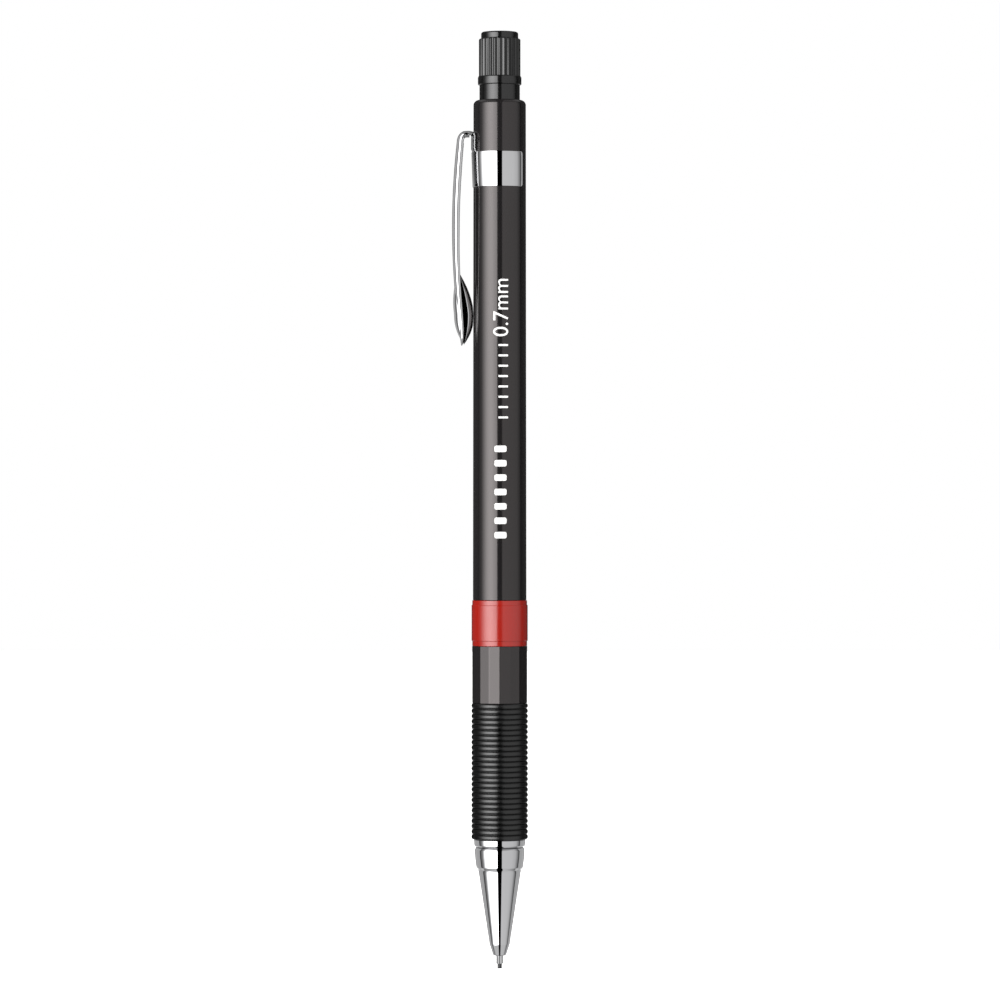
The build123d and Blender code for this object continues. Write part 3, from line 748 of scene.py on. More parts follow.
@dataclass
class BarrelTube:
    """Red collar, long black barrel and the marks printed on it."""

    lip_radius: float = 4.15
    collar_radius: float = 4.25
    lip_heights: Station = (0.78, 0.72)
    lip_corner: float = 0.07
    spigot_radius: float = 3.43
    low_radius: float = 4.05
    top_radius: float = 3.97
    shoulder: float = 130.90
    bore: float = 3.30
    rear_bore: float = 3.12
    rear_bore_low: float = 127.50
    seat_depth: float = 5.60
    front_edge: float = 0.06
    ink_height: float = 0.02
    # The flat print starts this far in front of the axis and is cut into strips this wide before it is bent.
    print_start: float = 6.0
    print_strip: float = 0.15
    figures: str = "0.7mm"
    figures_low: float = 95.65
    figures_size: float = 3.24
    # Left and right ends of the print: the figures stand on the right one.
    print_sides: Station = (-0.79, 1.26)
    bar_rows: tuple[BarRow, ...] = (
        BarRow("print_bold_bars", low=65.25, pitch=2.17, count=7, width=0.98, sides=(-0.79, 1.04)),
        BarRow("print_fine_bars", low=83.35, pitch=1.56, count=8, width=0.30, sides=(-0.18, 1.26)))
    bar_round: float = 0.28

    def build(self, finish: Finishes) -> None:
        """Builds and fits the collar, the barrel and the print."""
        fit(self.collar(), "barrel_unit", "red_gloss", finish.collar.material(), "colour_collar")
        barrel = self.tube()
        fit(barrel, "barrel_unit", "black_gloss", finish.barrel.material(), "barrel")
        ink = finish.ink.material()
        for make in (self.size_figures, *[partial(self.bars, row) for row in self.bar_rows]):
            fit(self.print_on(barrel, make()), "barrel_unit", "", ink)

    def collar(self) -> bpy.types.Object:
        """The red ring with a low lip at each end."""
        low, high = low_of("colour_collar"), high_of("colour_collar")
        lower, upper = low + self.lip_heights[0], high - self.lip_heights[1]
        piece = turn("red_collar", soften([
            (self.spigot_radius, low), (self.lip_radius, low), (self.lip_radius, lower),
            (self.collar_radius, lower), (self.collar_radius, upper), (self.lip_radius, upper),
            (self.lip_radius, high), (self.spigot_radius, high)], self.lip_corner))
        smooth(piece)
        return piece

    def tube(self) -> bpy.types.Object:
        """The barrel, slightly drafted, with a rounded rear shoulder."""
        low, high = low_of("barrel"), high_of("barrel")
        round_over = arc((self.rear_bore, self.shoulder),
                         (self.top_radius - self.rear_bore, high - self.shoulder), 0, 90, 12)
        piece = turn("black_barrel", [
            (self.spigot_radius, low), (self.low_radius - self.front_edge, low),
            (self.low_radius, low + self.front_edge), *round_over, (self.rear_bore, self.rear_bore_low),
            (self.bore, self.rear_bore_low), (self.bore, low + self.seat_depth),
            (self.spigot_radius, low + self.seat_depth)])
        smooth(piece, 40)
        return piece

    def size_figures(self) -> bpy.types.Object:
        """The lead size as plain figures, lying flat in front of the barrel and reading upwards."""
        bpy.ops.object.select_all(action="DESELECT")
        bpy.ops.object.text_add(location=(self.print_sides[1] * MM, 0, self.figures_low * MM),
                                rotation=(math.pi / 2, -math.pi / 2, 0))
        words = bpy.context.object
        words.data.body = self.figures
        words.data.size = self.figures_size * MM
        bpy.ops.object.convert(target="MESH")
        return settle("print_size_figures")

    def bars(self, row: BarRow) -> bpy.types.Object:
        """A row of plain upright bars with rounded ends, flat in front of the barrel."""
        left, right = row.sides
        bpy.ops.object.select_all(action="DESELECT")
        bpy.ops.mesh.primitive_plane_add(size=1, rotation=(math.pi / 2, 0, 0), location=(
            (left + right) / 2 * MM, 0, (row.low + row.width / 2) * MM))
        bpy.context.object.scale = ((right - left) * MM, row.width * MM, 1)
        piece = settle(row.name)
        with editing(piece):
            bpy.ops.mesh.select_all(action="SELECT")
            bpy.ops.mesh.bevel(offset=row.width * self.bar_round * MM, segments=5, affect="VERTICES")
        modify(piece, "ARRAY", count=row.count, use_relative_offset=False, use_constant_offset=True,
               constant_offset_displace=(0, 0, row.pitch * MM))
        return piece

    def print_on(self, barrel: bpy.types.Object, piece: bpy.types.Object) -> bpy.types.Object:
        """Lays a flat print onto the barrel as a thin film.

        Args:
            barrel: The barrel piece.
            piece: The flat print, facing -Y.

        Returns:
            The same piece, bent to the barrel and given its thickness.
        """
        with editing(piece):
            bpy.ops.mesh.select_all(action="SELECT")
            bpy.ops.transform.translate(value=(0, -self.print_start * MM, 0))
            cut = self.print_sides[0]
            while cut < self.print_sides[1] + self.print_strip:
                bpy.ops.mesh.select_all(action="SELECT")
                bpy.ops.mesh.bisect(plane_co=(cut * MM, 0, 0), plane_no=(1, 0, 0))
                cut += self.print_strip
            bpy.ops.mesh.select_all(action="SELECT")
            bpy.ops.mesh.quads_convert_to_tris()
        modify(piece, "SHRINKWRAP", target=barrel, wrap_method="PROJECT", use_project_y=True, use_project_x=False,
               use_project_z=False, use_positive_direction=True, use_negative_direction=False,
               offset=self.ink_height / 4 * MM)
        modify(piece, "SOLIDIFY", thickness=self.ink_height * MM, offset=1.0)
        with editing(piece):
            clean_shell()
        return piece


@dataclass
class PocketClip:
    """Sprung clip: a C band round the barrel and one strap that rises, turns over and bows down to a foot."""

    band_radii: Station = (4.10, 3.81)
    gap_half_angle: float = 32.0
    band_high: float = 123.75
    band_rows: int = 6
    band_bends: int = 96
    # How tall the band still is at its rounded ends, one step of its bend after the other.
    end_shares: Station = (0.88, 0.98)
    flare: float = 0.044
    neck_x: float = -4.19
    neck_depth: float = 0.30
    # Everything nearer to the axis than this x belongs to the neck.
    neck_outside: float = -4.45
    neck_low: float = 122.90
    jog_low: float = 123.60
    jog_high: float = 124.25
    jog_x: float = -3.95
    strap_width: float = 4.0
    bridge_z: float = 126.575
    bridge_depth: float = 0.85
    bridge_end: float = -5.00
    bend: float = 0.55
    # Straight part of the neck left out under its bend.
    bend_room: float = 0.25
    bend_steps: int = 6
    # Centre of the turn into the arm: its x, and its height over the arm's start.
    turn_centre: Station = (-5.15, 0.05)
    turn_steps: int = 8
    # Turn of the arm from the bridge, in degrees.
    turn_reach: float = 87.0
    # Stations down the arm: the long part's spacing, the tip's, and where the tip starts.
    arm_spacing: tuple[float, float, float] = (0.80, 0.25, 97.5)
    edge: float = 0.05
    bow_radius: float = 117.0
    bulge_x: float = -7.22
    bulge_z: float = 112.4
    depth: float = 1.15
    crown_share: float = 0.60
    flat_share: float = 0.90
    # Corners inside the widest line, in millimetres from it and as shares of the half width.
    inner_corners: tuple[Station, ...] = ((-0.20, 1.0), (-0.42, 0.935), (-0.46, 0.89))
    section_count: int = 32
    foot_x: float = -5.40
    foot_low: float = 94.60
    foot_high: float = 105.60
    foot_widest: float = 99.20
    foot_lean: float = -0.80
    foot_flat: float = 0.88
    foot_radius: float = 1.52
    foot_gap: float = 0.06
    foot_rows: int = 30
    # Power of the foot's outline: 2 is an ellipse's roundness and more is fuller.
    foot_fullness: float = 2.2
    # Radius of the barrel under the foot, and the stretch of it that hollows the foot.
    barrel_radius: float = 4.0
    gauge_ends: Station = (90.0, 110.0)
    # Height, depth share and width share down the arm.
    arm_table: tuple[tuple[float, float, float], ...] = (
        (125.2, 0.93, 1.00), (121.0, 1.00, 0.97), (112.4, 1.00, 0.88), (103.0, 0.85, 0.78), (98.5, 0.78, 0.72),
        (96.6, 0.64, 0.62), (95.4, 0.46, 0.46), (94.75, 0.28, 0.30), (94.45, 0.12, 0.14))

    def build(self, finish: Finishes) -> None:
        """Builds and fits the band and the foot, and builds and dresses the strap."""
        chrome = finish.clip_chrome.material()
        fit(self.band(), "barrel_unit", "chrome", chrome, "clip_band")
        fit(self.foot(), "clip_lever", "chrome", chrome)
        strap = self.strap()
        dress(strap, chrome)
        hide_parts("clip_arm")
        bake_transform(strap)

    def band(self) -> bpy.types.Object:
        """The C band, open towards +X and drawn out a little where the neck rises."""
        low, high = low_of("clip_band"), self.band_high
        outer, inner = self.band_radii
        turn_angle = math.radians(360 - 2 * self.gap_half_angle)
        start = math.radians(-self.gap_half_angle)
        rows, bends = self.band_rows, self.band_bends
        bpy.ops.object.select_all(action="DESELECT")
        bpy.ops.mesh.primitive_grid_add(x_subdivisions=1, y_subdivisions=rows, size=1)
        bpy.context.object.scale = ((outer - inner) * MM, (high - low) * MM, 1)
        bpy.context.object.rotation_euler = (math.pi / 2, 0, 0)
        bpy.context.object.location = ((outer + inner) / 2 * MM, 0, (low + high) / 2 * MM)
        piece = settle("clip_c_band")
        piece.rotation_euler = (0, 0, start)
        take(piece)
        piece = settle("clip_c_band")
        with editing(piece) as mesh:
            bpy.ops.mesh.select_all(action="SELECT")
            bpy.ops.mesh.extrude_region_move(TRANSFORM_OT_translate={"value": (0, 0, 0)})
            bpy.ops.mesh.spin(steps=bends, angle=turn_angle, center=(0, 0, 0), axis=(0, 0, 1))
            clean_shell()
            for bend, share in enumerate(self.end_shares):
                bearing = bend * turn_angle / bends - start
                select_vertices(mesh, lambda place: abs(abs(math.atan2(place.y, place.x)) - bearing) < NEAR)
                bpy.ops.transform.resize(value=(1, 1, share), center_override=(0, 0, (low + high) / 2 * MM))
            for row in range(1, rows + 1):
                height = low + (high - low) * row / rows
                select_vertices(mesh, lambda place: place.x < -NEAR and abs(place.z - height) < NEAR)
                bpy.ops.transform.resize(value=(1 + self.flare * row / rows, 1, 1),
                                         center_override=(0, 0, height * MM))
        break_edges(piece, self.edge, 40)
        smooth(piece, 40)
        return piece

    def section(self, name: str) -> bpy.types.Object:
        """The strap's D section at full size, crowned towards +X, as an open ring at the origin."""
        crown = self.depth * self.crown_share
        bpy.ops.object.select_all(action="DESELECT")
        bpy.ops.mesh.primitive_circle_add(vertices=self.section_count, radius=MM)
        piece = settle(name)
        with editing(piece) as mesh:
            select_vertices(mesh, lambda place: place.x > NEAR)
            bpy.ops.transform.resize(value=(crown, 1, 1), center_override=(0, 0, 0))
            step = math.tau / self.section_count
            corners = len(self.inner_corners)
            select_vertices(mesh, lambda place: place.x < -math.sin(step * (corners + 0.5)))
            bpy.ops.transform.resize(value=(0, self.flat_share, 1), center_override=(0, 0, 0))
            bpy.ops.transform.translate(value=((crown - self.depth) * MM, 0, 0))
            for number, (across, share) in enumerate(self.inner_corners):
                here = (-math.sin(step * (number + 1)), math.cos(step * (number + 1)))
                select_vertices(mesh, lambda place: math.dist((place.x, abs(place.y)), here) < 2 * NEAR)
                bpy.ops.transform.resize(value=(across / here[0], share / here[1], 1), center_override=(0, 0, 0))
            bpy.ops.mesh.select_all(action="SELECT")
            bpy.ops.transform.resize(value=(1, self.strap_width / 2, 1), center_override=(0, 0, 0))
        return piece

    def arm_shares(self, height: float) -> Station:
        """Depth and width shares at a height of the arm, read between the table's rows."""
        for above, below in zip(self.arm_table, self.arm_table[1:]):
            if height >= below[0]:
                share = (above[0] - height) / (above[0] - below[0])
                return (above[1] + share * (below[1] - above[1]), above[2] + share * (below[2] - above[2]))
        return self.arm_table[-1][1:]

    def path(self) -> list[tuple[float, float, float, float, float]]:
        """Stations along the strap, from inside the band to the tip of the arm.

        Returns:
            For each station the outside point's x and z, the way outwards in degrees from +X towards +Z, and the
            depth and width shares.
        """
        thin = self.neck_depth / self.depth
        outside = self.neck_x + self.neck_depth / 2
        inset = self.jog_x + self.neck_depth / 2
        stations = [(inset, self.neck_low, 0.0, thin, 1.0), (inset, self.jog_low, 0.0, thin, 1.0),
                    (outside, self.jog_high, 0.0, thin, 1.0)]
        bend = self.bend
        top = self.bridge_z + self.bridge_depth / 2
        bridge = self.bridge_depth / self.depth
        stations.append((outside, top - bend - self.bend_room, 0.0, thin, 1.0))
        for step in range(1, self.bend_steps):
            angle = 90 * step / self.bend_steps
            share = thin + (bridge - thin) * step / self.bend_steps
            stations.append((outside - bend * (1 - math.cos(math.radians(angle))),
                             top - bend + bend * math.sin(math.radians(angle)), angle, share, 1.0))
        stations.append((outside - bend, top, 90.0, bridge, 1.0))
        stations.append((self.bridge_end, top, 90.0, bridge, 1.0))
        start = self.arm_point(self.arm_table[0][0])
        centre = (self.turn_centre[0], start[1] + self.turn_centre[1])
        reach, lift = centre[0] - start[0], top - centre[1]
        for step in range(1, self.turn_steps):
            angle = math.radians(90 + self.turn_reach * step / self.turn_steps)
            share = bridge + (self.arm_table[0][1] - bridge) * step / self.turn_steps
            stations.append((centre[0] + reach * math.cos(angle), centre[1] + lift * math.sin(angle),
                             math.degrees(angle), share, 1.0))
        height = self.arm_table[0][0]
        long, short, near_tip = self.arm_spacing
        while height > self.arm_table[-1][0]:
            stations.append((*self.arm_point(height), *self.arm_shares(height)))
            height -= long if height > near_tip else short
        tip = self.arm_table[-1]
        stations.append((*self.arm_point(tip[0]), tip[1], tip[2]))
        return stations

    def arm_point(self, height: float) -> tuple[float, float, float]:
        """Outside point of the bowed arm at a height, and the way outwards there in degrees."""
        rise = math.asin((height - self.bulge_z) / self.bow_radius)
        return (self.bulge_x + self.bow_radius * (1 - math.cos(rise)), height, 180 - math.degrees(rise))

    def strap(self) -> bpy.types.Object:
        """The neck, bridge and arm as one strip: drawn straight, then bent ring by ring."""
        piece = self.section("clip_strap")
        crown = self.depth * self.crown_share
        count = self.section_count
        stations = self.path()
        with editing(piece) as mesh:
            for number, (x, z, outwards, depth, width) in enumerate(stations):
                ring = range(count * number, count * (number + 1))
                pick_vertices(mesh, ring)
                if number + 1 < len(stations):
                    bpy.ops.mesh.extrude_region_move(TRANSFORM_OT_translate={"value": (0, 0, 0)})
                    pick_vertices(mesh, ring)
                bpy.ops.transform.resize(value=(depth, width, 1), center_override=(0, 0, 0))
                bpy.ops.transform.rotate(value=math.radians(outwards), orient_axis="Y", center_override=(0, 0, 0))
                angle = math.radians(outwards)
                sunk = crown * depth
                place = ((x - sunk * math.cos(angle)) * MM, 0, (z - sunk * math.sin(angle)) * MM)
                bpy.ops.transform.translate(value=place)
            self.close_tube(mesh, count)
            self.hug_barrel(mesh)
            bpy.ops.mesh.select_all(action="SELECT")
            bpy.ops.mesh.normals_make_consistent(inside=False)
        break_edges(piece, self.edge, 35, 2)
        smooth(piece, 40)
        return piece

    def close_tube(self, mesh: bpy.types.Mesh, count: int) -> None:
        """Fills the first and the last ring of an open strap."""
        total = len(bmesh.from_edit_mesh(mesh).verts)
        for chosen in (range(count), range(total - count, total)):
            pick_vertices(mesh, chosen)
            bpy.ops.mesh.edge_face_add()

    def hug_barrel(self, mesh: bpy.types.Mesh) -> None:
        """Curves the neck round the barrel, one lengthwise line at a time."""
        form = bmesh.from_edit_mesh(mesh)
        lines = sorted({round(abs(vertex.co.y) / MM, 3) for vertex in form.verts})
        rounding = 0.0006
        for line in lines:
            if line < NEAR:
                continue
            chosen = select_vertices(mesh, lambda place: abs(abs(place.y) - line) < rounding
                                     and place.x > self.neck_outside)
            if chosen:
                radius = abs(self.neck_x)
                shift = radius - math.sqrt(radius ** 2 - line ** 2)
                bpy.ops.transform.translate(value=(shift * MM, 0, 0))

    def foot(self) -> bpy.types.Object:
        """The foot inside the arm: flat sided, leaning into the arm above and hollowed over the barrel."""
        stations = []
        for row in range(self.foot_rows + 1):
            height = self.foot_low + (self.foot_high - self.foot_low) * row / self.foot_rows
            end = self.foot_low if height < self.foot_widest else self.foot_high
            away = abs((height - self.foot_widest) / (end - self.foot_widest))
            stations.append((self.foot_radius * (1 - away ** self.foot_fullness), height))
        piece = turn("clip_foot", [(0.0, self.foot_low), *stations[1:-1], (0.0, self.foot_high)], 64)
        with editing(piece) as mesh:
            for radius, height in stations[1:-1]:
                for side in (-1, 1):
                    select_vertices(mesh, lambda place: abs(place.z - height) < NEAR
                                    and side * place.y > self.foot_flat * radius)
                    bpy.ops.transform.resize(value=(1, 0, 1),
                                             center_override=(0, side * self.foot_flat * radius * MM, 0))
            for radius, height in stations[1:]:
                rise = (height - self.foot_widest) / (self.foot_high - self.foot_widest)
                lean = self.foot_lean * max(0.0, rise)
                select_vertices(mesh, lambda place: abs(place.z - height) < NEAR)
                bpy.ops.transform.translate(value=(lean * MM, 0, 0))
        piece.location.x = self.foot_x * MM
        take(piece)
        piece = settle("clip_foot")
        radius, (low, high) = self.barrel_radius + self.foot_gap, self.gauge_ends
        gauge = turn("barrel_gauge", [(0, low), (radius, low), (radius, high), (0, high)])
        modify(piece, "BOOLEAN", operation="DIFFERENCE", object=gauge, solver="EXACT")
        bpy.data.objects.remove(gauge)
        with editing(piece):
            clean_shell()
        smooth(piece, 40)
        return piece


@dataclass
class PushButton:
    """Push sleeve, eraser in its cup and the knurled cap over them."""

    neck_radius: float = 3.06
    spigot_radius: float = 2.55
    shoulder: float = 133.93
    pocket_radius: float = 2.12
    pocket_low: float = 127.30
    seat_radius: float = 2.23
    # Inward and upward reach of the bevel at the sleeve's lower end, and the break of its upper edge.
    sleeve_bevel: Station = (0.30, 0.60)
    sleeve_edge: float = 0.15
    cup_radii: Station = (2.05, 1.88)
    cup_floor: float = 0.25
    cup_edge: float = 0.10
    cup_rim: float = 0.08
    eraser_radius: float = 1.85
    eraser_round: float = 0.30
    flange_radius: float = 3.30
    flange_high: float = 135.28
    knurl_high: float = 140.97
    knurl_radii: Station = (3.17, 2.98)
    knurl_count: int = 26
    disk_radius: float = 2.81
    disk_round: float = 0.32
    cavity_radius: float = 2.62
    cavity_high: float = 140.30
    mouth_edge: float = 0.10
    flange_edge: float = 0.14
    flange_corner: float = 0.3
    # The flange's upper bevel: where it starts and ends under the top, and its last step over the knurl.
    flange_bevel: tuple[float, float, float] = (0.22, 0.06, 0.02)
    # How far under the knurl's top its ribs start to fade and are half faded, and how much is left there.
    knurl_fade: tuple[float, float, float] = (0.20, 0.05, 0.55)
    knurl_sink: float = 0.02
    # Outward and upward reach of the hollow round the disk's foot.
    disk_foot: Station = (0.05, 0.10)
    # Share of the rib's height at each eighth of its pitch, from the crest round to the next.
    rib_form: tuple[float, ...] = (1.0, 0.90, 0.46, 0.10, 0.0, 0.10, 0.46, 0.90)

    def build(self, finish: Finishes) -> None:
        """Builds and fits the four pieces."""
        satin = finish.button.material()
        fit(self.sleeve(), "push_unit", "black_cap", satin, "push_sleeve")
        fit(self.cup(), "eraser_unit", "aluminium", finish.aluminium.material(), "eraser_cup")
        fit(self.eraser(), "eraser_unit", "eraser_vinyl", finish.eraser.material(), "eraser")
        fit(self.cap(), "cap", "black_cap", satin, "push_cap")

    def sleeve(self) -> bpy.types.Object:
        """The sleeve that carries cap and eraser."""
        low, high = low_of("push_sleeve"), high_of("push_sleeve")
        piece = turn("button_sleeve", [
            (self.seat_radius, low), (self.neck_radius - self.sleeve_bevel[0], low),
            (self.neck_radius, low + self.sleeve_bevel[1]), (self.neck_radius, self.shoulder),
            (self.spigot_radius, self.shoulder), (self.spigot_radius, high - self.sleeve_edge),
            (self.spigot_radius - self.sleeve_edge, high), (self.pocket_radius, high),
            (self.pocket_radius, self.pocket_low), (self.seat_radius, self.pocket_low)])
        smooth(piece)
        return piece

    def cup(self) -> bpy.types.Object:
        """The drawn cup round the eraser, with a rolled rim."""
        low, high = low_of("eraser_cup"), high_of("eraser_cup")
        outer, inner = self.cup_radii
        rim = arc(((outer + inner) / 2, high - self.cup_rim), ((outer - inner) / 2, self.cup_rim), 0, 180, 7)
        piece = turn("eraser_holder_cup", [
            (0, low), (outer - self.cup_edge, low), (outer, low + self.cup_edge), *rim,
            (inner, low + self.cup_floor), (0, low + self.cup_floor)], 96)
        smooth(piece)
        return piece

    def eraser(self) -> bpy.types.Object:
        """The eraser, its end a little rounded."""
        low, high = low_of("eraser"), high_of("eraser")
        top = arc((self.eraser_radius - self.eraser_round, high - self.eraser_round),
                  (self.eraser_round, self.eraser_round), 0, 90, 7)
        piece = turn("vinyl_eraser", [(0, low), (self.eraser_radius, low), *top, (0, high)], 96)
        smooth(piece)
        return piece

    def cap(self) -> bpy.types.Object:
        """The hollow cap, drawn from its cavity round the flange, up the knurl and over the disk."""
        low, high = low_of("push_cap"), high_of("push_cap")
        edge, corner = self.flange_edge, self.flange_edge * self.flange_corner
        peak, valley = self.knurl_radii
        fade, half_faded, left = self.knurl_fade
        start, end, over = self.flange_bevel
        ribs = [valley + (peak - valley) * share for share in self.rib_form]
        soft = [valley + (radius - valley) * left for radius in ribs]
        plain = len(ribs)
        ring = DrawnRing("knurled_cap", self.knurl_count * plain, [self.cavity_radius] * plain, self.cavity_high)
        for height, radius in (
            (low + self.mouth_edge, self.cavity_radius), (low, self.cavity_radius + self.mouth_edge),
            (low, self.flange_radius - edge), (low + corner, self.flange_radius - corner),
            (low + edge, self.flange_radius), (self.flange_high - start, self.flange_radius),
            (self.flange_high - end, self.flange_radius - end), (self.flange_high, peak + over),
        ):
            ring.draw(height, *([radius] * plain))
        ring.draw(self.flange_high, *ribs)
        ring.draw(self.knurl_high - fade, *ribs)
        ring.draw(self.knurl_high - half_faded, *soft)
        for height, radius in (
            (self.knurl_high, valley - self.knurl_sink), (self.knurl_high, self.disk_radius + self.disk_foot[0]),
            (self.knurl_high + self.disk_foot[1], self.disk_radius),
        ):
            ring.draw(height, *([radius] * plain))
        dome = arc((self.disk_radius - self.disk_round, high - self.disk_round),
                   (self.disk_round, self.disk_round), 0, 90, 7)
        for radius, height in dome:
            ring.draw(height, *([radius] * plain))
        piece = ring.close(Closing.CAPS)
        smooth(piece, 52)
        return piece


@dataclass
class ClutchWorks:
    """Return spring and the inner pieces that keep their CAD shape."""

    wire_radius: float = 0.15
    wire_points: int = 12
    turn_steps: int = 32
    coil_radius: float = 1.68
    turns: int = 11
    spring_anchor: float = 16.1
    travel: float = 2.1

    def build(self, finish: Finishes) -> None:
        """Builds the spring and dresses the CAD pieces inside."""
        spring = self.spring()
        low, high = low_of("return_spring"), high_of("return_spring")
        fit(spring, "barrel_unit", "steel", finish.spring.material(), "return_spring")
        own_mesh(spring)
        natural, brass, graphite = (f.material() for f in (finish.natural, finish.brass, finish.graphite))
        bush = finish.bush.material()
        dresses = {"clutch_housing": natural, "tube_connector": natural, "lead_reservoir": natural,
                   "clutch_ring": brass, "collet_base": brass, "lead_retainer": bush}
        dresses.update({f"collet_jaw_{n}": brass for n in (1, 2, 3)})
        dresses.update({f"spare_lead_{n}": graphite for n in (1, 2, 3)})
        for node, material in dresses.items():
            held = frame["nodes"][node]
            held.data.materials.clear()
            held.data.materials.append(material)
            LOG.info("%-18s keeps its CAD shape  %s", node, material.name)

    def spring(self) -> bpy.types.Object:
        """The coil, screwed from one round of wire."""
        low = low_of("return_spring") + self.wire_radius
        high = high_of("return_spring") - self.wire_radius
        bpy.ops.object.select_all(action="DESELECT")
        bpy.ops.mesh.primitive_circle_add(vertices=self.wire_points, radius=self.wire_radius * MM,
                                          location=(self.coil_radius * MM, 0, low * MM),
                                          rotation=(math.pi / 2, 0, 0))
        piece = settle("coil_spring")
        modify(piece, "SCREW", axis="Z", screw_offset=(high - low) / self.turns * MM, iterations=self.turns,
               steps=self.turn_steps, render_steps=self.turn_steps)
        with editing(piece):
            bpy.ops.mesh.select_all(action="SELECT")
            bpy.ops.mesh.fill_holes(sides=0)
            bpy.ops.mesh.normals_make_consistent(inside=False)
        smooth(piece, 50)
        return piece


# ---------------------------------------------------------------- the studio


@dataclass(frozen=True)
class Panel:
    """A stop on the way round the studio: its bearing from the camera's side in degrees and its level."""

    bearing: float
    level: float


